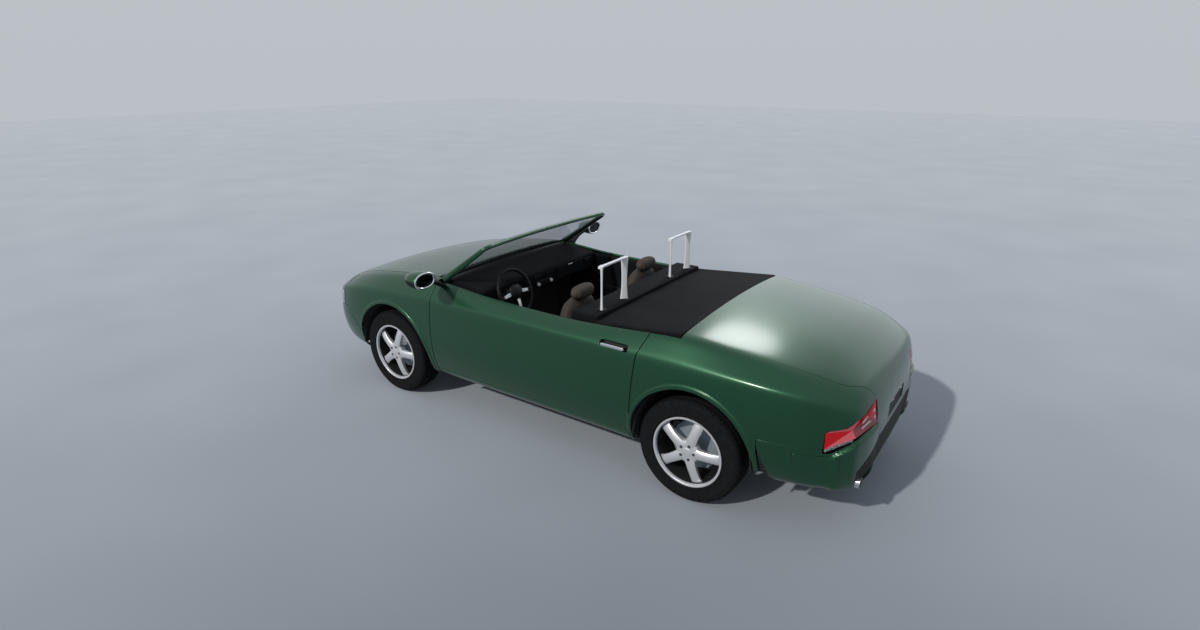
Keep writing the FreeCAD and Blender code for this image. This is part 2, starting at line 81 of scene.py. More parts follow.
def superellipse(n, power):
    """Points (cosine, sine) round an oval that gets squarer as the power falls."""
    return [(cosine(t, power), sine(t, power)) for t in turn(n)]


def add(tree, kind, settings=None, **sockets):
    """One node: settings are its properties, and each named socket gets a value or another node's output."""
    n = tree.nodes.new(kind)
    for k, v in (settings or {}).items():
        setattr(n, k, v)
    for k, v in sockets.items():
        s = n.inputs[int(k[1:])] if k[0] == "i" and k[1:].isdigit() else n.inputs[k.replace("_", " ")]
        if isinstance(v, bpy.types.NodeSocket):
            tree.links.new(v, s)
        else:
            s.default_value = v
    return n


FINISHES = {}


def finish(name, **sockets):
    """A Principled material and the start of its tree; sockets are set on the shader."""
    m = bpy.data.materials.new(name)
    m.use_nodes = True
    t = m.node_tree
    t.nodes.clear()
    out = t.nodes.new("ShaderNodeOutputMaterial")
    p = add(t, "ShaderNodeBsdfPrincipled", None, **sockets)
    t.links.new(p.outputs[0], out.inputs[0])
    FINISHES[name] = m
    return t, p, add(t, "ShaderNodeTexCoord").outputs["Object"]


def tint(t, fac, low, high, p, socket="Base Color", a=0.0, b=1.0):
    """Runs a pattern through a two-colour ramp into a socket of the shader."""
    r = add(t, "ShaderNodeValToRGB", None, Fac=fac)
    r.color_ramp.elements[0].position, r.color_ramp.elements[1].position = a, b
    r.color_ramp.elements[0].color, r.color_ramp.elements[1].color = low, high
    t.links.new(r.outputs[0], p.inputs[socket])


def relief(t, height, p, depth, strength):
    """A bump of that depth in metres."""
    b = add(t, "ShaderNodeBump", None, Height=height, Distance=depth, Strength=strength)
    t.links.new(b.outputs[0], p.inputs["Normal"])


def to_object(name, me):
    """Puts a mesh in the scene under that name."""
    ob = bpy.data.objects.new(name, me)
    bpy.context.scene.collection.objects.link(ob)
    return ob


def bare_mesh(name, verts, faces, finishes, index, smooth):
    """A mesh and its finishes; index gives each face's finish, smooth each face's shading."""
    me = bpy.data.meshes.new(name)
    me.from_pydata(verts, [], faces)
    for f in finishes if isinstance(finishes, (list, tuple)) else [finishes]:
        me.materials.append(FINISHES[f])
    me.polygons.foreach_set("material_index", index)
    me.polygons.foreach_set("use_smooth", smooth)
    me.update()
    return me


def new_mesh(name, verts, faces, finishes, index=None, normals=None, smooth=True):
    """An object from points and faces, with a normal for each point if they are given."""
    index = [0] * len(faces) if index is None else [int(i) for i in index]
    me = bare_mesh(name, [tuple(v) for v in verts], [tuple(int(i) for i in f) for f in faces], finishes, index,
                   [smooth] * len(faces))
    if normals is not None:
        me.normals_split_custom_set_from_vertices([tuple(n) for n in normals])
    return to_object(name, me)


def face_out(me, weld=True):
    """Turns every face outwards, after joining the points that coincide."""
    b = bmesh.new()
    b.from_mesh(me)
    if weld:
        bmesh.ops.remove_doubles(b, verts=b.verts, dist=1e-6)
    bmesh.ops.recalc_face_normals(b, faces=b.faces)
    b.to_mesh(me)
    b.free()


class Build:
    """Gathers quads and triangles with their finish, to become one piece."""

    def __init__(self):
        self.v, self.f, self.m, self.flat = [], [], [], []

    def put(self, verts, faces, m=0, flat=False):
        """Adds points and faces; m is the finish's place in the piece's list."""
        o = len(self.v)
        self.v += [tuple(v) for v in verts]
        for f in faces:
            self.f.append([o + int(i) for i in f])
            self.m.append(m)
            self.flat.append(flat)

    def both(self):
        """Adds the mirror image, across the middle of the car."""
        n = len(self.v)
        self.v += [(x, -y, z) for x, y, z in self.v]
        self.f += [[n + i for i in reversed(f)] for f in self.f]
        self.m += self.m
        self.flat += self.flat

    def done(self, name, finishes, outward=False, mirrored=False, angle=None):
        """The piece: outward turns its faces out, mirrored puts it on the right, angle sharpens its edges."""
        v = [(x, -y, z) for x, y, z in self.v] if mirrored else self.v
        f = [list(reversed(q)) for q in self.f] if mirrored else self.f
        me = bare_mesh(name, v, f, finishes, self.m, [not k for k in self.flat])
        if outward:
            face_out(me)
        if angle:
            me.set_sharp_from_angle(angle=math.radians(angle))
        return to_object(name, me)


def apply_modifiers(ob):
    """Replaces an object's mesh with what its modifiers make of it."""
    dg = bpy.context.evaluated_depsgraph_get()
    me = bpy.data.meshes.new_from_object(ob.evaluated_get(dg), depsgraph=dg)
    old = ob.data
    ob.modifiers.clear()
    ob.data = me
    bpy.data.meshes.remove(old)
    return ob


def rings(build, loops, m=0, cap0=False, cap1=False, flat=False):
    """Skins closed loops of points in order, all with the same number of points; a cap closes the first or last."""
    n = len(loops[0])
    v = [p for loop in loops for p in loop]
    f = []
    for j in range(len(loops) - 1):
        for k in range(n):
            a, b = j * n + k, j * n + (k + 1) % n
            f.append((a, b, b + n, a + n))
    for on, j in ((cap0, 0), (cap1, len(loops) - 1)):
        if on:
            c = len(v)
            v.append(tuple(np.mean([np.array(p) for p in loops[j]], axis=0)))
            for k in range(n):
                a, b = j * n + k, j * n + (k + 1) % n
                f.append((b, a, c) if j == 0 else (a, b, c))
    build.put(v, f, m, flat)


def solid(build, loops, m=0, flat=False):
    """Skins closed loops and closes both ends."""
    rings(build, loops, m, True, True, flat)


def tube(build, path, radii, n=16, m=0, up=(0, 0, 1)):
    """A bar along a line of points; a radius is a number, or a pair for an oval bar."""
    path = [np.array(p, float) for p in path]
    loops = []
    for i, (p, r) in enumerate(zip(path, radii)):
        d = path[min(i + 1, len(path) - 1)] - path[max(i - 1, 0)]
        d /= np.linalg.norm(d)
        s = np.cross(d, up)
        s /= np.linalg.norm(s)
        u = np.cross(s, d)
        ra, rb = r if isinstance(r, tuple) else (r, r)
        loops.append([p + s * ra * math.cos(t) + u * rb * math.sin(t) for t in turn(n)])
    solid(build, loops, m)


def turned(build, profile, centre, n=64, axis=1, m=0):
    """Turns (radius, along) points about an axis through centre; axis 1 is y, 0 is x."""
    c = np.array(centre, float)
    cols = []
    for k in range(n):
        a = 2 * math.pi * k / n
        s, co = math.sin(a), math.cos(a)
        cols.append([c + (np.array((r * s, h, r * co)) if axis == 1 else np.array((h, r * s, r * co)))
                     for r, h in profile])
    rings(build, [list(q) for q in zip(*cols)], m)


# ---- the numbers of the body, repeated from the part's source, in millimetres from mid-wheelbase ---
SHIFT = 45
# along; sill y and z; waist y and z; shoulder y and z; deck edge y and z; deck z in the middle
SECTIONS = [
    (2195, 290, 440, 300, 560, 290, 640, 250, 668, 680), (2160, 510, 385, 540, 560, 520, 687, 455, 723, 743),
    (2109, 640, 345, 680, 560, 660, 716, 578, 769, 793), (2024, 729, 310, 775, 570, 754, 752, 642, 815, 845),
    (1910, 770, 285, 827, 580, 805, 785, 670, 858, 890), (1780, 790, 272, 850, 590, 830, 812, 690, 895, 928),
    (1560, 800, 266, 864, 600, 845, 840, 712, 940, 975), (1200, 805, 262, 868, 600, 850, 868, 733, 988, 1020),
    (830, 805, 262, 868, 600, 850, 888, 748, 1022, 1045), (300, 805, 262, 868, 600, 850, 898, 757, 985, 1040),
    (-300, 805, 262, 868, 600, 850, 903, 758, 976, 1040), (-870, 805, 262, 868, 600, 850, 905, 756, 1006, 1048),
    (-1210, 805, 265, 868, 605, 850, 905, 745, 1038, 1072), (-1500, 800, 275, 866, 610, 848, 902, 733, 1013, 1052),
    (-1760, 790, 292, 856, 615, 838, 896, 712, 985, 1026), (-1950, 765, 300, 820, 620, 800, 882, 685, 954, 995),
    (-2110, 700, 298, 735, 620, 712, 848, 620, 903, 941), (-2215, 600, 305, 650, 615, 622, 796, 540, 855, 882),
    (-2262, 450, 335, 490, 600, 462, 736, 400, 781, 802), (-2285, 320, 368, 345, 585, 325, 688, 280, 712, 726)]
# wheel openings, front and rear: along, up, radius
ARCHES = ((1290, 352, 408), (-1335, 365, 398))
# axles and wheels in the frame, m
AXLE_F, AXLE_R, AXLE_Z, TRACK, TYRE_W = 1.320 + 0.045, -1.320 + 0.045, 0.340, 1.456, 0.206


def X(mm):
    """From mm ahead of mid-wheelbase to the frame's x."""
    return (mm + SHIFT) / 1000


# ---- body surface ----------------------------------------------------------------------------------
def ramp(v, width):
    """From 0 to 1 over that width, smooth at both ends."""
    t = np.clip(v / width, 0, 1)
    return t * t * (3 - 2 * t)


# spacing of the table of section lines in metres, and half the width of the smoothing in its steps
GRID, HALF_KERNEL = 0.005, 60
# the section lines are smoothed over these lengths amidships and at the ends; one gives way to the other from
# ENDS_FROM metres off the middle, over ENDS_FADE
SMOOTH_MID, SMOOTH_END, ENDS_FROM, ENDS_FADE = 0.085, 0.010, 1.55, 0.5


def _columns():
    """The section lines as functions of x on a fine grid: monotone cubics, smoothed, and three slopes."""
    rows = np.array(sorted(SECTIONS), float)
    rows[:, 0] += SHIFT
    rows /= 1000
    xs = np.arange(-2.36, 2.36, GRID)
    h = np.diff(rows[:, 0])
    cols = []
    for c in range(1, 10):
        y = rows[:, c]
        d = np.diff(y) / h
        m = np.zeros(len(y))
        for i in range(1, len(y) - 1):
            if d[i - 1] * d[i] > 0:
                w1, w2 = 2 * h[i] + h[i - 1], h[i] + 2 * h[i - 1]
                m[i] = (w1 + w2) / (w1 / d[i - 1] + w2 / d[i])
        m[0], m[-1] = d[0], d[-1]
        j = np.clip(np.searchsorted(rows[:, 0], xs) - 1, 0, len(h) - 1)
        t = (xs - rows[j, 0]) / h[j]
        v = (y[j] * (1 + 2 * t) * (1 - t) ** 2 + h[j] * m[j] * t * (1 - t) ** 2
             + y[j + 1] * t * t * (3 - 2 * t) + h[j] * m[j + 1] * t * t * (t - 1))
        lo, hi = xs < rows[0, 0], xs > rows[-1, 0]
        v[lo] = y[0] + m[0] * (xs[lo] - rows[0, 0])
        v[hi] = y[-1] + m[-1] * (xs[hi] - rows[-1, 0])
        smooth = []
        for sigma in (SMOOTH_MID, SMOOTH_END):
            k = np.arange(-HALF_KERNEL, HALF_KERNEL + 1) * GRID
            g = np.exp(-k * k / 2 / sigma ** 2)
            g /= g.sum()
            pad = np.concatenate([v[0] + np.arange(-HALF_KERNEL, 0) * (v[1] - v[0]), v,
                                  v[-1] + np.arange(1, HALF_KERNEL + 1) * (v[-1] - v[-2])])
            smooth.append(np.convolve(pad, g, "valid"))
        f = ramp(np.abs(xs) - ENDS_FROM, ENDS_FADE)
        cols.append(smooth[0] * (1 - f) + smooth[1] * f)
    slope = [1 / np.sqrt(1 + np.gradient(c, GRID) ** 2) for c in (cols[2], cols[8], cols[1])]
    return xs, cols + slope


XS, COLS = _columns()


def smax(a, b, k):
    """The larger of two, with a soft change over of width k."""
    m = np.maximum(a, b)
    return m + k * np.log(np.exp((a - m) / k) + np.exp((b - m) / k))


# the top of the rear bumper's corner, just under the lamp, and how far that corner bulges
CORNER_X, CORNER_Z, CORNER_OUT = [X(-2262), X(-2240), X(-2121), X(-2060)], [0.652, 0.641, 0.555, 0.550], 0.019
# where nose and tail are cut off upright, and the plane nothing passes behind
NOSE_END, TAIL_END, TAIL_CAP = 2.2398, -2.2370, -2.2385
# softness of the joins: deck to shoulder, shoulder to side, sill, ends
SOFT_DECK, SOFT_SIDE, SOFT_SILL, SOFT_END = 0.013, 0.0065, 0.006, 0.010
# the slanted tuck under the sill: how wide, how high, and its length
TUCK_Y, TUCK_Z, TUCK_L = 0.045, 0.040, 0.0602
# the raised lip round a wheel opening: how far out, how wide, and where it stops in y and z
LIP_OUT, LIP_WIDE, LIP_FADE, LIP_Y, LIP_TOP = 0.0075, 0.022, 0.008, 0.70, 0.80


def field(P):
    """Signed measure of the body: below zero inside the painted surface."""
    x, y, z = P[..., 0], np.abs(P[..., 1]), P[..., 2]
    yb, zb, yw, zw, yc, zc, yd, zd, zt, n1, n3, n5 = [np.interp(x, XS, c) for c in COLS]
    up = (z - zw) / (zc - zw)
    dn = (zw - z) / (zw - zb - TUCK_Z)
    ys = np.where(z > zw, yw - (yw - yc) * up * up, yw - (yw - yb) * dn * dn)
    f1 = (y - ys) * n1
    L = np.hypot(zd - zc, yc - yd)
    f2 = ((y - yc) * (zd - zc) + (z - zc) * (yc - yd)) / L * np.maximum(n1, 0.3)
    f3 = (z - (zt - (zt - zd) * (y / yd) ** 2)) * n3
    f4 = ((y - yb) * TUCK_Z - (z - zb - TUCK_Z) * TUCK_Y) / TUCK_L
    f5 = (zb - z) * n5
    g = smax(f1, smax(f2, f3, SOFT_DECK), SOFT_SIDE)
    g = smax(g, smax(f4 * n1, f5, SOFT_SILL), SOFT_SILL)
    g = smax(g, smax(x - NOSE_END, TAIL_END - x, 0.004), SOFT_END)
    for ax, az, ar in ARCHES:
        d = np.hypot(x - X(ax), z - az / 1000) - ar / 1000
        lip = LIP_OUT * (1 - ramp(d - LIP_WIDE, LIP_FADE)) * np.clip((y - LIP_Y) / 0.05, 0, 1) * (z < LIP_TOP)
        g = g - np.where(d > -0.05, lip, 0)
    below = np.interp(x, CORNER_X, CORNER_Z) - z
    g = g - CORNER_OUT * ramp(X(-2090) - x, 0.075) * ramp(below, 0.024) * ramp(y - 0.32, 0.12)
    return smax(g, TAIL_CAP - x, 0.003)


def gradient(P, h=0.0015):
    """The outward direction of the surface at each point."""
    g = np.stack([field(P + np.eye(3)[k] * h) - field(P - np.eye(3)[k] * h) for k in range(3)], axis=-1)
    return g / np.linalg.norm(g, axis=-1, keepdims=True)


def cast(O, D, far=1.4):
    """Where rays from inside leave the body."""
    O, D = np.broadcast_arrays(np.asarray(O, float), np.asarray(D, float))
    D = D / np.linalg.norm(D, axis=-1, keepdims=True)
    lo, hi = np.zeros(D.shape[:-1]), np.full(D.shape[:-1], far)
    for _ in range(22):
        mid = (lo + hi) / 2
        out = field(O + D * mid[..., None]) > 0
        hi = np.where(out, mid, hi)
        lo = np.where(out, lo, mid)
    return O + D * ((lo + hi) / 2)[..., None]


def side_at(x, z):
    """On the left flank, for x in mm from mid-wheelbase and z in mm."""
    x, z = np.broadcast_arrays(np.asarray(x, float), np.asarray(z, float))
    return cast(np.stack([X(x), np.full(x.shape, 0.05), z / 1000], axis=-1), np.array([0.0, 1.0, 0.0]))


def deck_at(x, y):
    """On the top of the body, for x and y in mm."""
    x, y = np.broadcast_arrays(np.asarray(x, float), np.asarray(y, float))
    return cast(np.stack([X(x), y / 1000, np.full(x.shape, 0.56)], axis=-1), np.array([0.0, 0.0, 1.0]))


def end_at(y, z, way):
    """On the nose (way 1) or tail (way -1), for y and z in mm."""
    y, z = np.broadcast_arrays(np.asarray(y, float), np.asarray(z, float))
    O = np.stack([np.full(y.shape, 1.2 * way), y / 1000, z / 1000], axis=-1)
    return cast(O, np.array([float(way), 0.0, 0.0]))


# ---- finishes --------------------------------------------------------------------------------------
# patterns for the finishes: a node, its settings and its inputs
def noise(scale, detail=2.0):
    """Clouds or grain."""
    return "ShaderNodeTexNoise", None, {"Scale": scale, "Detail": detail}


def cells(scale):
    """Flake or pebble grain."""
    return "ShaderNodeTexVoronoi", None, {"Scale": scale}


def ribs(axis, scale):
    """Stripes across that axis."""
    return "ShaderNodeTexWave", {"bands_direction": axis}, {"Scale": scale}


def make(name, pattern, low, high, at=(0.0, 1.0), bump=None, grain=None, haze=None, **shader):
    """A finish: its pattern runs between two colours, at gives where on the pattern. bump is a depth in metres and a
    strength, over grain or else over the pattern; haze is a pair of roughnesses."""
    t, p, co = finish(name, **shader)
    seen = add(t, pattern[0], pattern[1], Vector=co, **pattern[2]).outputs[0]
    tint(t, seen, *(linear(c) if isinstance(c, str) else c for c in (low, high)), p, a=at[0], b=at[1])
    if haze:
        tint(t, seen, *((v, v, v, 1.0) for v in haze), p, "Roughness")
    if bump:
        felt = add(t, grain[0], grain[1], Vector=co, **grain[2]).outputs[0] if grain else seen
        relief(t, felt, p, *bump)


class CAR_OT_finishes(bpy.types.Operator):
    """Makes every finish of the car"""
    bl_idname = "car.finishes"
    bl_label = "Finishes"

    def execute(self, context):
        light, deep = [tuple(v * k for v in context.scene.car_colours.paint[:3]) + (1.0,) for k in (0.94, 0.66)]
        # metallic base coat under clear lacquer: deep green that lightens where it faces the sky, sharp highlights
        make(PAINT, cells(900), light, deep, (0.1, 0.7), Metallic=0.55, Roughness=0.4, Specular_IOR_Level=0.2,
             Coat_Weight=1.0, Coat_Roughness=0.2, Coat_IOR=1.36)
        # moulded ABS with a fine spark texture: dull black, breaks highlights up
        make(BLACK, noise(700, 3), "#0a0b0c", "#111214", bump=(0.0003, 0.5), Roughness=0.55, Specular_IOR_Level=0.2)
        # vulcanised carbon-black rubber: dull grey-black, slightly mottled, dusty on the tread
        make("road_tyre_rubber", noise(55, 6), "#101113", "#1a1b1d", (0.3, 0.75), (0.0004, 0.4), Roughness=0.85,
             Specular_IOR_Level=0.1)
        # cast alloy under silver lacquer: bright grey, soft broad highlight with a fine flake
        make("silver_lacquered_alloy", cells(1300), "#b9bcc1", "#cdd0d4", Metallic=0.45, Roughness=0.4,
             Coat_Weight=0.5, Coat_Roughness=0.12)
        # turned grey iron: satin grey, clouded, with the fine marks of the cutter; its grey is painted paler than bare
        # iron, painted light against the shade inside the wheel
        make("machined_cast_iron", noise(14, 4), "#87949d", "#a3afb7", (0.35, 0.7), (0.0002, 0.4), noise(450),
             Metallic=0.5, Roughness=0.5)
        # zinc plating on bolt heads and rods: pale satin metal
        make(ZINC, noise(300), "#8d9094", "#a9acb0", Metallic=1.0, Roughness=0.38)
        # laminated float glass, a shade blue-grey: see-through, with a sharp reflection
        make("clear_laminated_glass", noise(3), "#a6adb4", "#aeb5bc", Roughness=0.03, IOR=1.45, Alpha=0.34,
             Specular_IOR_Level=0.3)
        # fired enamel printed on glass: smooth and almost black
        make("black_enamel_band", noise(90), "#0c0d0e", "#121315", Roughness=0.12)
        # acrylic lens in signal red, paler or deeper by cell, with its prisms showing as a fine ribbing
        for name, low, high, rough in (("red_moulded_lens", "#a5121f", "#bd1926", 0.10),
                                       ("pale_red_lens", "#d2565c", "#dc6f74", 0.14),
                                       ("deep_red_lens", "#8d3a42", "#9c4a51", 0.10)):
            make(name, ribs("Z", 55), low, high, bump=(0.0008, 0.3), Roughness=rough, IOR=1.49,
                 Specular_IOR_Level=0.25)
        # diffusing polycarbonate over the light guides: milky, softly lit from outside
        make(FROSTED, noise(160), "#b9a7a6", "#cdbcb9", Roughness=0.3, Coat_Weight=0.4)
        # clear moulded polycarbonate: transparent with fine flutes
        make("clear_moulded_lens", ribs("Y", 40), "#e3e8ea", "#f3f6f7", bump=(0.0004, 0.2), Roughness=0.05, IOR=1.45,
             Transmission_Weight=0.9)
        # polished chrome plate: mirror bright, a breath of haze where hands wipe it
        make(CHROME, noise(20, 3), "#d9dbde", "#eceef0", haze=(0.05, 0.14), Metallic=1.0, Roughness=0.1)
        # silvered glass of a mirror, painted dark all over: painted shade for the dark reflection it shows
        make("mirror_glass_painted_shade", noise(12), "#2b2e31", "#33363a", Metallic=1.0, Roughness=0.03)
        # satin silver lacquer on pressed steel: even pale grey with a soft highlight
        make("satin_silver_lacquer", cells(1200), "#dcdfe2", "#e6e8ea", Metallic=0.1, Roughness=0.35,
             Coat_Weight=0.3, Coat_Roughness=0.2)
        # the inside of a tailpipe: matt soot over steel
        make("sooty_steel", noise(120, 4), "#0f0f0f", "#1d1c1b", Metallic=0.3, Roughness=0.9)
        # lacquer on the wheel's barrel, painted near black: painted shade for the depth of the wheel behind the spokes
        make("barrel_painted_shade", noise(14, 4), "#191a1b", "#27282a", Metallic=0.3, Roughness=0.7,
             Specular_IOR_Level=0.2)
        # blank plate of dark laminated plastic: even, nearly matt
        make("dark_blank_plate", noise(40), "#202224", "#292b2e", Roughness=0.5, Specular_IOR_Level=0.1)
        # aniline-dyed leather over foam: warm taupe, fine pebble grain, clouded from light to dark
        make(LEATHER, noise(9, 3), "#38332f", "#46403b", (0.3, 0.7), (0.0006, 0.5), cells(420), Roughness=0.6,
             Specular_IOR_Level=0.1)
        # vinyl skin with an embossed leather grain: black, a dull sheen that shows the grain
        make(VINYL, noise(5, 4), "#131416", "#1a1b1d", (0.3, 0.7), (0.0006, 0.45), cells(330), Roughness=0.65,
             Specular_IOR_Level=0.04)
        # smooth leather stitched round the wheel's rim, polished by hands
        make("black_grip_leather", cells(500), "#0f0f10", "#19191b", bump=(0.0004, 0.35), Roughness=0.45,
             Specular_IOR_Level=0.15)
        # needle-punched polypropylene carpet: matt black with a tufted surface
        make(CARPET, noise(260, 5), "#0d0d0e", "#1f1f21", (0.35, 0.65), (0.0015, 0.8), Roughness=0.95,
             Sheen_Weight=0.3)
        # sprayed stone-chip coating under the body: black with an orange-peel surface and some road dust
        make("black_underbody_coating", noise(4, 6), "#151515", "#2b2a28", (0.4, 0.75), (0.0012, 0.6), noise(160, 3),
             Roughness=0.75)
        # pressed polypropylene felt of the arch liners: dull black, hairy when close
        make("moulded_arch_liner", noise(320, 4), "#0e0e0f", "#1d1d1e", bump=(0.001, 0.6), Roughness=0.9)
        # sand-cast iron: grey-brown, coarse from the mould, blotched where oil has dried
        make("rough_cast_iron", noise(11, 5), "#35332f", "#57544f", (0.35, 0.7), (0.001, 0.6), noise(220, 4),
             Metallic=0.5, Roughness=0.7)
        # aluminium-coated steel of the exhaust: dull silver, dusty in patches
        make("aluminised_steel", noise(8, 5), "#6f6c66", "#96968f", (0.35, 0.7), Metallic=0.9, Roughness=0.5)
        return {"FINISHED"}


# ---- charts: flat (u, v) maps of the surface; uv goes to the map, ray gives the rays that come back ------
# the flank chart's v at the sill, waist, shoulder, deck edge and the middle of the deck
NODES_V = (-0.35, 0.0, 0.30, 0.44, 1.19)


def _angles(x):
    """Centre of the flank chart's rays at x, and their angle at each feature line."""
    yb, zb, yw, zw, yc, zc, yd, zd, zt = [np.interp(x, XS, c) for c in COLS[:9]]
    y0, z0 = 0.3 * yw, zw
    a = [np.arctan2(zb - z0, yb - y0), 0 * x, np.arctan2(zc - z0, yc - y0), np.arctan2(zd - z0, yd - y0),
         np.arctan2(zt - z0, 0 - y0)]
    return y0, z0, a


def _through(t, src, dst):
    """Maps t piecewise from one run of marks to another, going on straight past the ends."""
    out = dst[0] + (t - src[0]) * (dst[1] - dst[0]) / (src[1] - src[0])
    for i in range(1, len(src) - 1):
        out = np.where(t > src[i], dst[i] + (t - src[i]) * (dst[i + 1] - dst[i]) / (src[i + 1] - src[i]), out)
    return out


class Flank:
    """Length, and feature lines round the side."""

    def uv(self, P):
        y0, z0, a = _angles(P[:, 0])
        return np.stack([P[:, 0], _through(np.arctan2(P[:, 2] - z0, np.abs(P[:, 1]) - y0), a, NODES_V)], -1)

    def ray(self, q):
        y0, z0, a = _angles(q[:, 0])
        t = _through(q[:, 1], NODES_V, a)
        return np.stack([q[:, 0], y0, z0], -1), np.stack([0 * t, np.cos(t), np.sin(t)], -1)


class Deck:
    """Seen from above."""

    def uv(self, P):
        return P[:, :2].copy()

    def ray(self, q):
        return np.stack([q[:, 0], q[:, 1], 0.55 + 0 * q[:, 0]], -1), np.array([0.0, 0.0, 1.0])


class Roll:
    """Round an axis across the car, for the boot lid."""

    def __init__(self, x, z, scale):
        self.x, self.z, self.s = x, z, scale

    def uv(self, P):
        return np.stack([P[:, 1], self.s * np.arctan2(P[:, 2] - self.z, P[:, 0] - self.x)], -1)

    def ray(self, q):
        t = q[:, 1] / self.s
        return np.stack([0 * t + self.x, q[:, 0], 0 * t + self.z], -1), np.stack([np.cos(t), 0 * t, np.sin(t)], -1)


class Wrap:
    """Round an upright axis, for the bumpers and lamps; way is 1 in front, -1 behind."""

    def __init__(self, x, way, scale=0.75):
        self.x, self.w, self.s = x, way, scale

    def uv(self, P):
        return np.stack([self.s * np.arctan2(P[:, 1], self.w * (P[:, 0] - self.x)), P[:, 2]], -1)

    def ray(self, q):
        t = q[:, 0] / self.s
        return np.stack([0 * t + self.x, 0 * t, q[:, 1]], -1), np.stack([self.w * np.cos(t), np.sin(t), 0 * t], -1)


FLANK, DECKS = Flank(), Deck()
LIDS, REAR, FRONT = Roll(X(-1750), 0.50, 0.55), Wrap(X(-1450), -1), Wrap(X(1450), 1)


def in_loop(Q, loop):
    """Which points lie inside a closed outline."""
    c = np.zeros(len(Q), bool)
    for (x0, y0), (x1, y1) in zip(loop, np.roll(loop, -1, 0)):
        if y0 != y1:
            c ^= ((y0 > Q[:, 1]) != (y1 > Q[:, 1])) & (Q[:, 0] < (x1 - x0) * (Q[:, 1] - y0) / (y1 - y0) + x0)
    return c


def off_loop(Q, loop):
    """How far each point is from a closed outline."""
    best = np.full(len(Q), 9.0)
    for p, q in zip(loop, np.roll(loop, -1, 0)):
        d = q - p
        t = np.clip(((Q - p) @ d) / max(d @ d, 1e-12), 0, 1)
        best = np.minimum(best, np.hypot(*(Q - p - t[:, None] * d).T))
    return best


def fill(points, step):
    """Points along a closed outline at about that spacing."""
    out = []
    for p, q in zip(points, np.roll(points, -1, 0)):
        n = max(1, int(round(np.linalg.norm(q - p) / step)))
        out += [p + (q - p) * k / n for k in range(n)]
    return np.array(out)


def outward(chart, q, P, N, hole):
    """In-surface directions away from a panel along one of its outlines, and how far a corner needs stretching."""
    a, b = P - np.roll(P, 1, 0), np.roll(P, -1, 0) - P
    a /= np.linalg.norm(a, axis=1, keepdims=True)
    b /= np.linalg.norm(b, axis=1, keepdims=True)
    B = np.cross(a + b, N)
    B /= np.linalg.norm(B, axis=1, keepdims=True)
    out = in_loop(chart.uv(P + B * 0.001), q) == hole
    if out.mean() < 0.5:
        B = -B
    return B, 1 / np.clip(np.sqrt((1 + np.einsum("ij,ij->i", a, b)) / 2), 0.6, 1)


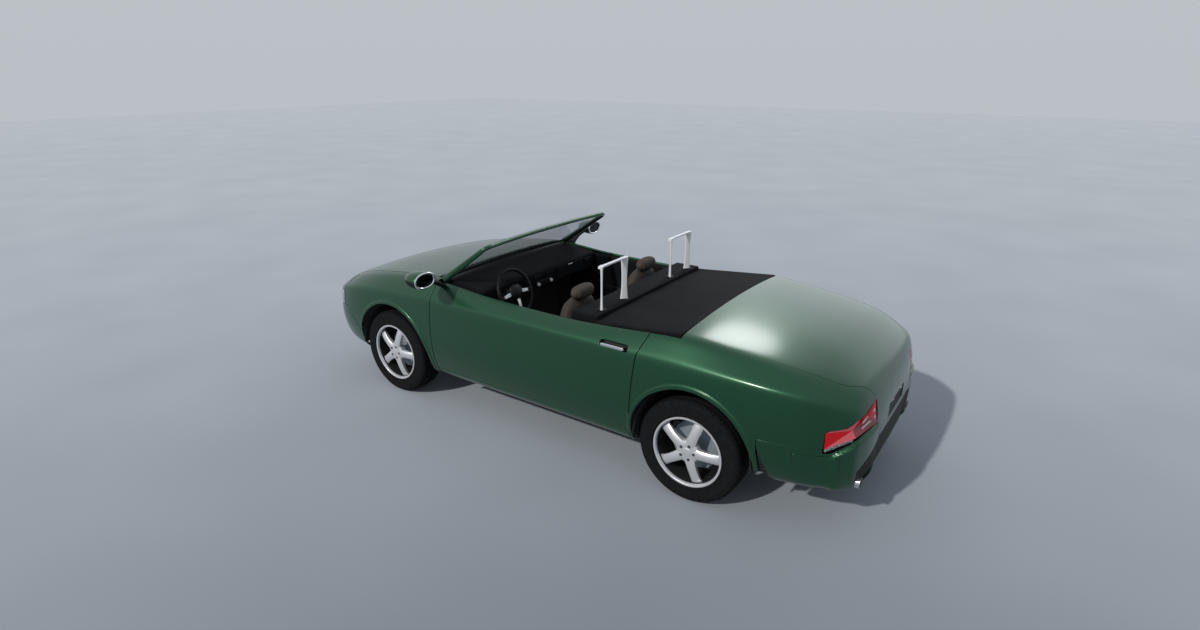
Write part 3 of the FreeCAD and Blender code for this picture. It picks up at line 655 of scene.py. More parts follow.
def panel(name, chart, loops, finishes, us, vs, extra=None, keep=None, step=0.012, roll=0.003, thick=0.014,
          gap=0.0045, rise=0.0, mirrored=False, close=None):
    """A painted skin over the body surface: its outlines are points on the surface, the first outside and the
    rest holes, and it stops half a gap inside them. Its edge is rolled, turned in and closed behind. us and vs are
    the grid's lines in the chart, extra adds points where keep has cleared that grid, rise lifts the skin, and close
    gives the share of the gap and the roll at each point."""
    share = close or (lambda P: np.ones(len(P)))
    inset = []
    for n, pts in enumerate(loops):
        q = fill(chart.uv(np.array(pts)), step)
        P = cast(*chart.ray(q))
        B, mitre = outward(chart, q, P, gradient(P), n > 0)
        inset.append(chart.uv(P - B * ((roll + gap / 2) * mitre * share(P))[:, None]))
    grid = np.array([(u, v) for u in us for v in vs])
    if extra is not None:
        grid = np.concatenate([grid[keep(grid)], chart.uv(extra)])
    inside = np.ones(len(grid), bool)
    for n, q in enumerate(inset):
        inside &= in_loop(grid, q) == (n == 0)
    grid = grid[inside]
    for q in inset:
        grid = grid[off_loop(grid, q) > step * 0.45]
    edges, spans, o = [], [], 0
    for q in inset:
        edges += [(o + k, o + (k + 1) % len(q)) for k in range(len(q))]
        spans.append((o, len(q)))
        o += len(q)
    vo, _, faces, ov, _, _ = delaunay_2d_cdt([tuple(p) for p in np.concatenate(inset + [grid])], edges, [], 0, 1e-7)
    vo = np.array([tuple(p) for p in vo])
    where = {i: k for k, src in enumerate(ov) for i in src}
    tri = np.array([f for f in faces if len(f) == 3])
    mid = vo[tri].mean(axis=1)
    ok = np.ones(len(tri), bool)
    for n, q in enumerate(inset):
        ok &= in_loop(mid, q) == (n == 0)
    tri = tri[ok]
    P = cast(*chart.ray(vo))
    N = gradient(P)
    turn = np.einsum("ij,ij->i", np.cross(P[tri[:, 1]] - P[tri[:, 0]], P[tri[:, 2]] - P[tri[:, 0]]),
                     N[tri].sum(axis=1))
    tri[turn < 0] = tri[turn < 0][:, ::-1]
    P = P + N * rise
    V, NN, quads, base = [P, P - N * thick], [N, -N], [], 2 * len(P)
    for n, (o, count) in enumerate(spans):
        ids = np.array([where[o + k] for k in range(count)])
        p, nn = P[ids], N[ids]
        B, mitre = outward(chart, vo[ids], p - nn * rise, nn, n > 0)
        R, last = B * (roll * mitre * share(p))[:, None], ids
        for a in (30, 60, 90):
            s, c = math.sin(math.radians(a)), math.cos(math.radians(a))
            V.append(p + R * s - nn * roll * (1 - c))
            NN.append(B * s + nn * c)
            cur = np.arange(count) + base
            base += count
            quads.append((last, cur))
            last = cur
        V.append(p + R - nn * thick)
        NN.append(B)
        cur = np.arange(count) + base
        base += count
        quads += [(last, cur), (cur, ids + len(P))]
    V, NN = np.concatenate(V), np.concatenate(NN)
    q = np.concatenate([np.stack([a, np.roll(a, -1), np.roll(b, -1), b], -1) for a, b in quads])
    fn = np.cross(V[q[:, 2]] - V[q[:, 0]], V[q[:, 3]] - V[q[:, 1]])
    back = np.einsum("ij,ij->i", fn, NN[q].sum(axis=1)) < 0
    q[back] = q[back][:, ::-1]
    faces = [tuple(t) for t in tri] + [tuple(t) for t in tri[:, ::-1] + len(P)] + [tuple(t) for t in q]
    if mirrored:
        V, NN = V * np.array([1, -1, 1]), NN * np.array([1, -1, 1])
        faces = [f[::-1] for f in faces]
    return new_mesh(name, V, faces, finishes, normals=NN)


def along(where, pts, step=22):
    """Points on the body along a line given in mm: side (x, z), deck (x, y), nose or tail (y, z)."""
    pts, out = np.array(pts, float), []
    for p, q in zip(pts, pts[1:]):
        n = max(1, int(math.ceil(np.linalg.norm(q - p) / step)))
        out += [p + (q - p) * k / n for k in range(n)]
    out = np.array(out + [pts[-1]])
    if where == "side":
        return side_at(out[:, 0], out[:, 1])
    if where == "deck":
        return deck_at(out[:, 0], out[:, 1])
    return end_at(out[:, 0], out[:, 1], 1 if where == "nose" else -1)


SPAN = 8


def curve(pts, n=SPAN):
    """A smooth line through points."""
    p = np.array(pts, float)
    p = np.concatenate([[2 * p[0] - p[1]], p, [2 * p[-1] - p[-2]]])
    out = []
    for i in range(1, len(p) - 2):
        for k in range(n):
            t = k / n
            square = 2 * p[i - 1] - 5 * p[i] + 4 * p[i + 1] - p[i + 2]
            cube = 3 * p[i] - p[i - 1] - 3 * p[i + 1] + p[i + 2]
            out.append(0.5 * (2 * p[i] + (p[i + 1] - p[i - 1]) * t + square * t * t + cube * t ** 3))
    return np.array(out + [p[-2]])


def arc(x, z, r, a0, a1, step=9):
    """Points on a circle in side view, angles in degrees from straight up towards the front."""
    n = int(abs(a1 - a0) * math.pi / 180 * r / step)
    a = np.radians(np.linspace(a0, a1, n + 1))
    return np.stack([x + r * np.sin(a), z + r * np.cos(a)], -1)


# lines shared between panels, in mm from mid-wheelbase: the door's front and rear, the left half of the bonnet's
# edge, and the boot lid's left edge
DOOR_F = 824.5
DOOR_R = [(-907.5, 278), (-907.5, 335), (-910.5, 380), (-919, 450), (-931, 492), (-945, 696), (-964, 886),
          (-988, 960)]
BONNET_LINE = curve([(868, 697), (1500, 667), (1850, 625), (1988, 543), (2062, 403), (2096, 202), (2103, 0),
                     (2096, -202), (2062, -403)])[:SPAN * 6 + 1]
LID_LINE = curve([(-1209, 703), (-1450, 694), (-1700, 679), (-1951, 643), (-2107, 578), (-2193, 475), (-2236, 432)])


def rows(lo, hi, coarse, centres=(), fine=0.006, reach=0.03):
    """Grid lines from lo to hi, closer round the centres."""
    out, v = [], lo
    while v < hi:
        out.append(v)
        near = min([abs(v - c) for c in centres] or [9])
        v += fine + (coarse - fine) * min(max((near - reach) / 0.06, 0), 1)
    return np.array(out + [hi])


FLANK_V = rows(-0.36, 0.62, 0.022, (0.30, 0.435), 0.0065, 0.022)
FLANK_U = np.arange(-2.34, 2.26, 0.019)


def arch_extra(which):
    """Rings of points on the lip round a wheel opening, and a test that clears the plain grid there."""
    ax, az, ar = ARCHES[which]
    pts = np.concatenate([arc(ax, az, ar + d, -112, 112, 11) for d in (6, 9, 12, 15, 18, 21, 25, 30, 38, 48)])
    pts = pts[pts[:, 1] > 285]

    def keep(g):
        P = cast(*FLANK.ray(g))
        return np.hypot(P[:, 0] - X(ax), P[:, 2] - az / 1000) > (ar + 56) / 1000

    return side_at(pts[:, 0], pts[:, 1]), keep


def arch_flange(build, which):
    """Closes the slot between a wheel opening's lip and its liner, on the left."""
    ax, az, ar = ARCHES[which]
    line = arc(ax, az, ar + 5, -90, 90, 30)
    reach = side_at(line[:, 0], line[:, 1])[:, 1]
    loops = []
    for (x, z), y in zip(line, reach):
        s, c = (x - ax) / (ar + 5), (z - az) / (ar + 5)
        loops.append([(X(ax + (ar + d) * s), w, (az + (ar + d) * c) / 1000)
                      for d, w in ((3, y - 0.011), (7, y - 0.011), (7, 0.800), (-4, 0.800), (-4, 0.805), (3, 0.805))])
    solid(build, loops, flat=True)


def both_halves(half):
    """An outline from its left half, whose two ends lie in the middle of the car."""
    return np.concatenate([half, (half * [1, -1, 1])[::-1][1:-1]])


def pair(name, chart, loops, finishes, us, vs, node, body="shell", **kw):
    """A left panel and its mirror image on the right."""
    for side, flip in SIDES:
        ob = panel("%s_%s_skin" % (name, side), chart, loops, finishes, us, vs, mirrored=flip, **kw)
        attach(ob, body % side if "%s" in body else body)
        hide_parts(node % side)


class CAR_OT_doors(bpy.types.Operator):
    """Makes the two door skins with their handle recesses"""
    bl_idname = "car.doors"
    bl_label = "Doors"

    def execute(self, context):
        s = context.scene.car_sizes
        outline = [along("side", [(DOOR_F, 335), (DOOR_F, 870)], 60),
                   along("deck", [(DOOR_F, 768), (750, 764), (744, 748)], 20),
                   along("deck", [(700, 746), (-1002, 746)], 40), along("deck", [(-1000, 775)]),
                   along("side", DOOR_R[:0:-1], 30), along("side", [(-880, 335), (800, 335)], 40)]
        recess = [(-890, 893), (-708, 893), (-700, 899), (-700, 922), (-708, 929), (-890, 929), (-898, 922),
                  (-898, 899)]
        hole = along("side", recess + recess[:1], 14)[:-1]
        loops = [np.concatenate(outline), hole]
        pair("door", FLANK, loops, PAINT, FLANK_U, FLANK_V, "door_%s", "door_body_%s",
             gap=s.shut_gap, roll=s.edge_radius)
        return {"FINISHED"}


WING_F = 1899.5


def wing_tip():
    """Where the wing's front edge meets the bonnet."""
    return deck_at([WING_F], [np.interp(WING_F, BONNET_LINE[:, 0], BONNET_LINE[:, 1])])


class CAR_OT_wings(bpy.types.Operator):
    """Makes the front wings, with a raised lip round the wheel opening"""
    bl_idname = "car.wings"
    bl_label = "Front wings"

    def execute(self, context):
        s = context.scene.car_sizes
        line = BONNET_LINE[BONNET_LINE[:, 0] < WING_F - 0.5]
        ax, az, ar = ARCHES[0]
        outline = [along("side", [(DOOR_F, 278), (DOOR_F, 870)], 60), along("deck", [(DOOR_F, 699), (866, 699)]),
                   deck_at(line[:, 0], line[:, 1]), wing_tip(),
                   along("side", [(WING_F, 800), (WING_F, 633), (1857, 633), (1723, 470), (1709, 290)], 30),
                   along("side", arc(ax, az, ar, 98, -98)), along("side", [(884, 278), (840, 278)])]
        extra, keep = arch_extra(0)
        pair("wing", FLANK, [np.concatenate(outline)], PAINT, FLANK_U, FLANK_V, "wing_%s",
             extra=extra, keep=keep, gap=s.shut_gap, roll=s.edge_radius, step=0.010)
        for side, flip in SIDES:
            b = Build()
            for which in (0, 1):
                arch_flange(b, which)
            ob = b.done("arch_flanges_" + side, "moulded_arch_liner", outward=True, mirrored=flip)
            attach(ob, "shell")
        return {"FINISHED"}


def behind_door(P):
    """Share of the shut gap: less round the boot lid, nearly none between the quarters and the bumper."""
    return np.where(P[:, 0] > X(-1100), 1.0, np.where(P[:, 2] > 0.64, 0.5, 0.3))


class CAR_OT_quarters(bpy.types.Operator):
    """Makes the rear quarters, from the door to the lamps"""
    bl_idname = "car.quarters"
    bl_label = "Rear quarters"

    def execute(self, context):
        s = context.scene.car_sizes
        ax, az, ar = ARCHES[1]
        lid = deck_at(LID_LINE[:, 0], LID_LINE[:, 1])
        outline = [along("side", [(-907.5, 278), *DOOR_R[1:]], 30), along("deck", [(-1000, 775)]),
                   along("deck", [(-1002, 748), (-1209, 748)], 40), lid,
                   along("side", [(-2254, 812), (-2232, 762), (-2173, 714), (-2084, 692)], 10),
                   along("side", [(-2084, 690), (-2084, 592)], 30),
                   along("side", [(-2060, 590.5), (-1748, 590.5)], 30),
                   along("side", [(-1748, 507), (-1759, 420), (-1762, 362), (-1738, 362)], 20),
                   along("side", arc(ax, az, ar, -90, 99)), along("side", [(-932, 278)])]
        extra, keep = arch_extra(1)
        pair("quarter", FLANK, [np.concatenate(outline)], PAINT, FLANK_U, FLANK_V, "quarter_%s",
             extra=extra, keep=keep, gap=s.shut_gap, roll=s.edge_radius, step=0.010, close=behind_door)
        return {"FINISHED"}


class CAR_OT_sills(bpy.types.Operator):
    """Makes the sills below the doors"""
    bl_idname = "car.sills"
    bl_label = "Sills"

    def execute(self, context):
        s = context.scene.car_sizes
        loop = np.concatenate([along("side", [(-905, 274), (822, 274)], 60),
                               along("side", [(822, 335), (-905, 335)], 40)])
        for side, flip in SIDES:
            ob = panel("sill_%s_skin" % side, FLANK, [loop], PAINT, FLANK_U, FLANK_V, mirrored=flip,
                       gap=s.shut_gap, roll=s.edge_radius, thick=0.03)
            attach(ob, "shell")
            if not flip:
                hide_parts("sills")
        return {"FINISHED"}


class CAR_OT_bonnet(bpy.types.Operator):
    """Makes the bonnet"""
    bl_idname = "car.bonnet"
    bl_label = "Bonnet"

    def execute(self, context):
        s = context.scene.car_sizes
        pts = np.concatenate([BONNET_LINE, (BONNET_LINE * [1, -1])[::-1][1:]])
        loop = np.concatenate([deck_at(pts[:, 0], pts[:, 1]), along("deck", [(866, -680), (866, 680)], 40)])
        ob = panel("bonnet_skin", DECKS, [loop], PAINT, np.arange(0.9, 2.2, 0.02), np.arange(-0.71, 0.711, 0.02),
                   gap=s.shut_gap, roll=s.edge_radius)
        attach(ob, "bonnet_body")
        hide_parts("bonnet")
        return {"FINISHED"}


class CAR_OT_boot_lid(bpy.types.Operator):
    """Makes the boot lid, which runs down the tail between the lamps, with its plate recess"""
    bl_idname = "car.boot_lid"
    bl_label = "Boot lid"

    def execute(self, context):
        s = context.scene.car_sizes
        lid = deck_at(LID_LINE[:, 0], LID_LINE[:, 1])
        down = along("tail", [(416, 800), (415, 700), (415, 590), (408, 573), (395, 569)], 25)
        half = np.concatenate([lid, down])
        loop = np.concatenate([half, (half * [1, -1, 1])[::-1], along("deck", [(-1209, -690), (-1209, 690)], 40)])
        plate = [(-172, 582), (172, 582), (180, 588), (180, 664), (172, 671), (-172, 671), (-180, 664), (-180, 588)]
        hole = along("tail", plate + plate[:1], 20)[:-1]
        ob = panel("boot_lid_skin", LIDS, [loop, hole], PAINT, np.arange(-0.72, 0.721, 0.02),
                   rows(0.30, 1.75, 0.02, (1.32,), 0.008, 0.10), gap=s.shut_gap, roll=s.edge_radius, thick=0.012,
                   close=behind_door)
        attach(ob, "boot_body")
        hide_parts("boot_lid")
        return {"FINISHED"}


class CAR_OT_front_bumper(bpy.types.Operator):
    """Makes the front bumper and nose cover, with holes for the lamps and the grille"""
    bl_idname = "car.front_bumper"
    bl_label = "Front bumper"

    def execute(self, context):
        s = context.scene.car_sizes
        side = along("side", [(1709, 290), (1723, 470), (1857, 633), (WING_F, 633), (WING_F, 800)], 30)
        top = BONNET_LINE[BONNET_LINE[:, 0] > WING_F + 3.5]
        loop = both_halves(np.concatenate([under_line(FRONT, 66, 0.020), side, wing_tip(),
                                           deck_at(top[:, 0], top[:, 1])]))
        grille = curve([(0, 470), (220, 470), (320, 476), (355, 520), (358, 560), (338, 596), (290, 609), (150, 612),
                        (0, 612)], 3)
        lamp = lamp_front_line()
        holes = [both_halves(end_at(grille[:, 0], grille[:, 1], 1)), lamp, lamp * [1, -1, 1]]
        ob = panel("front_bumper_skin", FRONT, [loop] + holes, PAINT,
                   rows(-1.02, 1.02, 0.022, (-0.75, 0.75), 0.014, 0.2),
                   rows(0.26, 0.90, 0.016), gap=s.shut_gap, roll=s.edge_radius, step=0.011)
        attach(ob, "shell")
        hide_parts("front_bumper")
        return {"FINISHED"}


def under_line(chart, degrees, lift):
    """The lower edge of a bumper: a little above the floor line, from the middle out to that angle."""
    t = np.radians(np.linspace(0, degrees, 48))
    z = np.full(48, 0.40)
    for _ in range(12):
        P = cast(*chart.ray(np.stack([t * chart.s, z], -1)))
        z = 0.5 * z + 0.5 * (np.interp(P[:, 0], XS, COLS[1]) + lift)
    return P


def lamp_front_line():
    """Round the left headlamp: over, down its inner side and back below."""
    return np.concatenate([along("side", [(1930, 640), (1930, 742), (2030, 744), (2120, 742)], 14),
                           along("nose", [(440, 742), (400, 735)], 14),
                          along("nose", [(392, 700), (394, 640), (410, 612)], 14),
                           along("side", [(2120, 612), (2010, 610), (1935, 630)], 14)])


def lamp_rear_line():
    """Round the rear lamp: in front, over, down its inner side and back below."""
    return np.concatenate([along("side", [(-2084, 566), (-2084, 690)], 20),
                           along("side", [(-2173, 714), (-2232, 762), (-2252, 806)], 12),
                           along("tail", [(430, 814), (420, 806), (418, 660)], 16),
                           along("side", [(-2240, 650), (-2121, 562)], 14)])


class CAR_OT_rear_bumper(bpy.types.Operator):
    """Makes the rear bumper with its side strips and the opening for the lower insert"""
    bl_idname = "car.rear_bumper"
    bl_label = "Rear bumper"

    def execute(self, context):
        s = context.scene.car_sizes
        side = along("side", [(-1812, 345), (-1808, 380), (-1762, 500), (-1754, 530), (-1748, 590.5)], 20)
        shelf = along("side", [(-1790, 590.5), (-2080, 590.5), (-2084, 562), (-2121, 561), (-2240, 649)], 20)
        inner = along("tail", [(430, 657), (416, 652), (415, 590), (408, 573), (395, 568), (0, 568)], 25)
        loop = both_halves(np.concatenate([under_line(REAR, 62, 0.016), side, shelf, inner]))
        strip, dark = strip_line(), insert_line()
        holes = [dark, strip, strip * [1, -1, 1]]
        ob = panel("rear_bumper_skin", REAR, [loop] + holes, PAINT,
                   rows(-1.02, 1.02, 0.020, (-0.75, 0.75), 0.012, 0.2),
                   rows(0.26, 0.72, 0.014, (0.60,), 0.006, 0.07), gap=s.shut_gap, roll=s.edge_radius, step=0.010,
                   close=behind_door)
        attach(ob, "shell")
        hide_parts("rear_bumper")
        for hand, flip in SIDES:
            st = panel("bumper_strip_%s" % hand, REAR, [strip], PAINT, rows(-1.02, 1.02, 0.02),
                       rows(0.26, 0.72, 0.014),
                       gap=0.002, roll=0.002, thick=0.010, rise=0.002, mirrored=flip)
            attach(st, "shell")
        ins = panel("rear_insert_skin", REAR, [dark], BLACK, rows(-1.02, 1.02, 0.02), rows(0.26, 0.72, 0.014),
                    gap=0.004, roll=0.002, thick=0.012, rise=-0.006)
        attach(ins, "shell")
        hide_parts("rear_insert")
        return {"FINISHED"}


def strip_line():
    """Round the left strip on the rear bumper's side."""
    pts = [(-1940, 480), (-1940, 545), (-1946, 550), (-2162, 541), (-2167, 536), (-2167, 466), (-2160, 461),
           (-1948, 474)]
    return along("side", pts + pts[:1], 16)[:-1]


def insert_line():
    """Round the dark insert low in the rear bumper."""
    return both_halves(along("tail", [(0, 545), (430, 545), (560, 482), (622, 440), (615, 380), (600, 330),
                                      (560, 332), (300, 374), (0, 380)], 25))


# ---- stage -----------------------------------------------------------------------------------------
CAMERA_AT, CAMERA_DOWN, CAMERA_TURN, LENS, SENSOR = (-2.8548, 3.9907, 2.5002), 20.184, -145.0975, 20.2797, 36.0
# painted shade on the paper: its grey by distance from below the camera, darkest there and paler farther out, as shares
# of PAPER_FAR metres
PAINTED_FLOOR_SHADE = ((0.06, "#888f98"), (0.1, "#9aa2ab"), (0.16, "#a7aeb7"), (0.25, "#b0b7c0"), (0.4, "#b8bec4"),
         (1.0, "#bfc4cb"))
PAPER_FAR, FLOOR_HALF = 40.0, 40
# lamps: name, kind, place, aim, size, power, colour
LAMPS = (("sun", "SUN", (1.7, 7.9, 5.9), (0, 0, 0), 0.03, 2.4, "#fffaf2"),
         ("lid_light", "AREA", (0.07, -4.0, 4.5), (-1.43, 0.55, 1.03), (1.35, 1.35), 48, "#ffffff"),
         ("soft_box", "AREA", (-1.0, -8.0, 3.4), (-0.5, 0, 0.8), (9.0, 4.6), 70, "#f6f9ff"))


class CAR_OT_stage(bpy.types.Operator):
    """Makes the floor, the world, the lamps and the camera"""
    bl_idname = "car.stage"
    bl_label = "Stage"

    def execute(self, context):
        scene = context.scene
        # matt roll paper with painted shade: a mid grey below the camera that pales with distance from there, with the
        # faintest cloud
        t, p, co = finish("matt_studio_paper", Roughness=0.9, Specular_IOR_Level=0.1)
        far = add(t, "ShaderNodeVectorMath", {"operation": "DISTANCE"}, i0=co, i1=(-2.85, 3.99, 0.0)).outputs["Value"]
        share = add(t, "ShaderNodeMath", {"operation": "DIVIDE"}, i0=far, i1=PAPER_FAR).outputs[0]
        ramp = add(t, "ShaderNodeValToRGB", None, Fac=share)
        while len(ramp.color_ramp.elements) < len(PAINTED_FLOOR_SHADE):
            ramp.color_ramp.elements.new(0.5)
        for e, (at, colour) in zip(ramp.color_ramp.elements, PAINTED_FLOOR_SHADE):
            e.position, e.color = at, linear(colour)
        n = add(t, "ShaderNodeTexNoise", None, Vector=co, Scale=0.8, Detail=1.0).outputs[0]
        mix = add(t, "ShaderNodeMix", {"data_type": "RGBA", "blend_type": "OVERLAY"}, i0=0.08, i6=ramp.outputs[0],
                  i7=n)
        t.links.new(mix.outputs[2], p.inputs["Base Color"])
        corners = [(x * FLOOR_HALF, y * FLOOR_HALF, 0) for x, y in ((-1, -1), (1, -1), (1, 1), (-1, 1))]
        floor = new_mesh("floor", corners, [(0, 1, 2, 3)], "matt_studio_paper", smooth=False)
        world = bpy.data.worlds.new("studio")
        scene.world = world
        world.use_nodes = True
        w = world.node_tree
        w.nodes.clear()
        # pale grey to the eye and in reflections; what it sheds on the paint is weaker
        g = add(w, "ShaderNodeSeparateXYZ", None, Vector=add(w, "ShaderNodeTexCoord").outputs["Generated"])
        r = add(w, "ShaderNodeValToRGB", None, Fac=g.outputs[2])
        r.color_ramp.elements[0].color, r.color_ramp.elements[1].color = linear("#bbc0c6"), linear("#c9ced4")
        ray = add(w, "ShaderNodeLightPath").outputs
        seen = add(w, "ShaderNodeMath", {"operation": "MAXIMUM"}, i0=ray["Is Camera Ray"], i1=ray["Is Glossy Ray"])
        seen = add(w, "ShaderNodeMath", {"operation": "MAXIMUM"}, i0=seen.outputs[0], i1=ray["Is Transmission Ray"])
        show = add(w, "ShaderNodeBackground", None, Color=r.outputs[0], Strength=1.0)
        shed = add(w, "ShaderNodeBackground", None, Color=linear("#dfe6ef"), Strength=0.6)
        both = add(w, "ShaderNodeMixShader", None, i0=seen.outputs[0], i1=shed.outputs[0], i2=show.outputs[0])
        add(w, "ShaderNodeOutputWorld", None, Surface=both.outputs[0])
        paint_only = bpy.data.collections.new("not_the_floor")
        paint_only.objects.link(floor)
        paint_only.collection_objects[0].light_linking.link_state = "EXCLUDE"
        for name, kind, place, aim, size, power, colour in LAMPS:
            d = bpy.data.lights.new(name, kind)
            d.energy, d.color = power, linear(colour)[:3]
            o = to_object(name, d)
            if kind == "SUN":
                d.angle = size
            else:
                # the soft lamps model the paint only; the floor's light stays even
                o.light_linking.receiver_collection = paint_only
                d.shape, (d.size, d.size_y) = "ELLIPSE" if size[0] == size[1] else "RECTANGLE", size
            o.visible_camera = False
            o.location = place
            o.rotation_euler = (Vector(aim) - Vector(place)).to_track_quat("-Z", "Y").to_euler()
        cam = bpy.data.cameras.new("camera")
        cam.sensor_width, cam.lens, cam.clip_end = SENSOR, LENS, 200
        o = to_object("camera", cam)
        o.location = CAMERA_AT
        o.rotation_euler = (math.radians(90 - CAMERA_DOWN), 0, math.radians(CAMERA_TURN))
        scene.camera = o
        scene.view_settings.view_transform = "Standard"
        return {"FINISHED"}


# ---- wheels ----------------------------------------------------------------------------------------
# half a tyre's outline: radius and distance from its middle plane, mm
TREAD = [(231, -94), (237, -100), (240, -102.5), (244, -100.5), (262, -102.5), (284, -102.8), (303, -101.6),
         (316, -98.5), (325, -93), (331.5, -86), (336, -77), (338.2, -67), (339, -57), (338.4, -55), (332.5, -53.5),
         (332.5, -46.5), (338.8, -45), (339.6, -43.5), (339.9, -32), (340, -21), (339.2, -19.5), (332.6, -18),
         (332.6, -10), (339.2, -8.5), (340, -7), (340, 0)]


# one pitch of the tread: share of the pitch, and the cut there (1 deep and wide, 2 shallow, 0 none)
CUTS = ((0.0, 0), (0.40, 0), (0.44, 1), (0.52, 1), (0.56, 0), (0.94, 0), (0.965, 2), (0.985, 2))


def tyre_mesh(build, pitches):
    """Sidewalls, ribs and four grooves turned about the axle, with cross cuts repeated round the tread."""
    prof = TREAD + [(r, -y) for r, y in reversed(TREAD[:-1])]
    angles = [(2 * math.pi * (p + f) / pitches, cut) for p in range(pitches) for f, cut in CUTS]
    cols = []
    for a, cut in angles:
        col = []
        for r, y in prof:
            ay = abs(y)
            if cut == 1 and 57 <= ay <= 86 and r > 330:
                r -= 4.5
            if cut == 1 and 19.6 < ay < 43.6 and r > 338:
                r -= 3.5
            if cut == 2 and ay < 7.1 and r > 338 or cut == 2 and 57 <= ay <= 80 and r > 334:
                r -= 2.5
            col.append((r * math.sin(a) / 1000, y / 1000, r * math.cos(a) / 1000))
        cols.append(col)
    rings(build, [list(q) for q in zip(*cols)])
    inner = [(231, -94), (222, -84), (219, -60), (219, 60), (222, 84), (231, 94)]
    rings(build, [[(r * math.sin(a) / 1000, y / 1000, r * math.cos(a) / 1000) for a, _ in angles] for r, y in inner])


SPOKES, FIRST_SPOKE, BARREL = 5, 54, 0.2106


def rim_mesh(build):
    """Barrel, five crowned spokes and hub, in metres about the middle of the wheel, outer face towards +y."""
    h = TYRE_W / 2 * 1000
    prof = [(228.5, h - 8), (228.8, h - 4), (227.5, h - 1.5), (225, h - 0.8), (218, h - 1.2), (215.5, h - 3),
            (213, h - 9), (211.5, h - 20), (209, h - 38), (205, h - 62), (203, 0), (203, -h + 24), (206, -h + 5),
            (210, -h + 2.5), (226, -h + 1.5), (228.5, -h + 3), (228.5, -h + 9), (221, -h + 16), (214, -h + 30),
            (212, 0), (213, h - 40), (219, h - 20)]
    turned(build, [(r / 1000, y / 1000) for r, y in prof + prof[:1]], (0, 0, 0), 96)
    # the barrel's inside, behind the face, takes the second finish: near black as painted shade
    for k, f in enumerate(build.f):
        p = np.mean([build.v[i] for i in f], axis=0)
        if math.hypot(p[0], p[2]) < BARREL and p[1] < (h - 20) / 1000:
            build.m[k] = 1
    face = [(30, -6), (48, -4.5), (70, -3.2), (95, -3.5), (120, -5.5), (145, -9), (170, -14), (190, -19.5),
            (204, -25), (213, -31)]
    for k in range(SPOKES):
        a = math.radians(FIRST_SPOKE + 360 / SPOKES * k)
        ca, sa = math.cos(a), math.sin(a)
        loops = []
        for r, y in face:
            w = np.interp(r, (30, 60, 100, 150, 190, 205, 213), (36, 33.5, 29.5, 29, 31.5, 36, 44))
            deep = np.interp(r, (30, 90, 160, 213), (46, 40, 32, 26))
            sec = []
            for t in np.linspace(-1, 1, 17):
                sec.append((t * w, h + y - 9.5 * abs(t) ** 2.4 - 0.5 * (1 - math.cos(t * math.pi))))
            sec += [(w * 0.99, h + y - 14), (w * 0.90, h + y - deep), (-w * 0.90, h + y - deep),
                    (-w * 0.99, h + y - 14)]
            loops.append([((r * sa + u * ca) / 1000, v / 1000, (r * ca - u * sa) / 1000) for u, v in sec])
        solid(build, loops)
    hub = [(0, -3), (24, -3), (27, -4), (30, -6.5), (33, -6.5), (52, -7.5), (66, -11), (74, -17), (77, -26),
           (76, -50), (60, -60), (0, -60)]
    turned(build, [(max(r, 0.01) / 1000, (h + y) / 1000) for r, y in hub], (0, 0, 0), 80)


def node_tree(name, **inputs):
    """A Geometry Nodes tree with inputs of those kinds; gives the tree, its inputs by name and its output."""
    t = bpy.data.node_groups.new(name, "GeometryNodeTree")
    t.interface.new_socket("Geometry", in_out="OUTPUT", socket_type="NodeSocketGeometry")
    for label, kind in inputs.items():
        t.interface.new_socket(label, in_out="INPUT", socket_type="NodeSocket" + kind)
    i, o = t.nodes.new("NodeGroupInput"), t.nodes.new("NodeGroupOutput")
    return t, {s.name: s for s in i.outputs}, o.inputs[0]


def bolt_tree():
    """Geometry Nodes: one bolt on a black disc, the disc painted shade for its bore, repeated round the hub."""
    t, g, out = node_tree("bolt_circle", Count="Int", Circle_Radius="Float", Bore_Radius="Float", Face="Float",
                          Bore_Finish="Material", Bolt_Finish="Material")
    ring = add(t, "GeometryNodeMeshCircle", {"fill_type": "NONE"}, Vertices=g["Count"], Radius=g["Circle_Radius"])
    turn = add(t, "GeometryNodeTransform", None, Geometry=ring.outputs[0],
               Rotation=(math.radians(90), math.radians(36), 0))
    # the bore is a black disc on the hub's face: painted shade for the hole round the bolt
    disc = add(t, "GeometryNodeMeshCylinder", None, Vertices=20, Radius=g["Bore_Radius"], Depth=0.006)
    paint = add(t, "GeometryNodeSetMaterial", None, Geometry=disc.outputs[0], Material=g["Bore_Finish"])
    half = add(t, "ShaderNodeMath", {"operation": "MULTIPLY"}, i0=g["Bore_Radius"], i1=0.5)
    head = add(t, "GeometryNodeMeshCylinder", None, Vertices=6, Radius=half.outputs[0], Depth=0.008)
    steel = add(t, "GeometryNodeSetMaterial", None, Geometry=head.outputs[0], Material=g["Bolt_Finish"])
    both = t.nodes.new("GeometryNodeJoinGeometry")
    t.links.new(paint.outputs[0], both.inputs[0])
    t.links.new(steel.outputs[0], both.inputs[0])
    on = add(t, "GeometryNodeInstanceOnPoints", None, Points=turn.outputs[0], Instance=both.outputs[0],
             Rotation=(math.radians(90), 0, 0))
    move = add(t, "GeometryNodeTranslateInstances", None, Instances=on.outputs[0], Local_Space=False,
               Translation=add(t, "ShaderNodeCombineXYZ", None, Y=g["Face"]).outputs[0])
    real = add(t, "GeometryNodeRealizeInstances", None, Geometry=move.outputs[0])
    t.links.new(real.outputs[0], out)
    return t


def from_tree(name, tree, **inputs):
    """The result of a tree as a plain mesh object."""
    ob = to_object(name, bpy.data.meshes.new(name))
    m = ob.modifiers.new("nodes", "NODES")
    m.node_group = tree
    for item in tree.interface.items_tree:
        if item.in_out == "INPUT":
            m[item.identifier] = inputs[item.name]
    return apply_modifiers(ob)


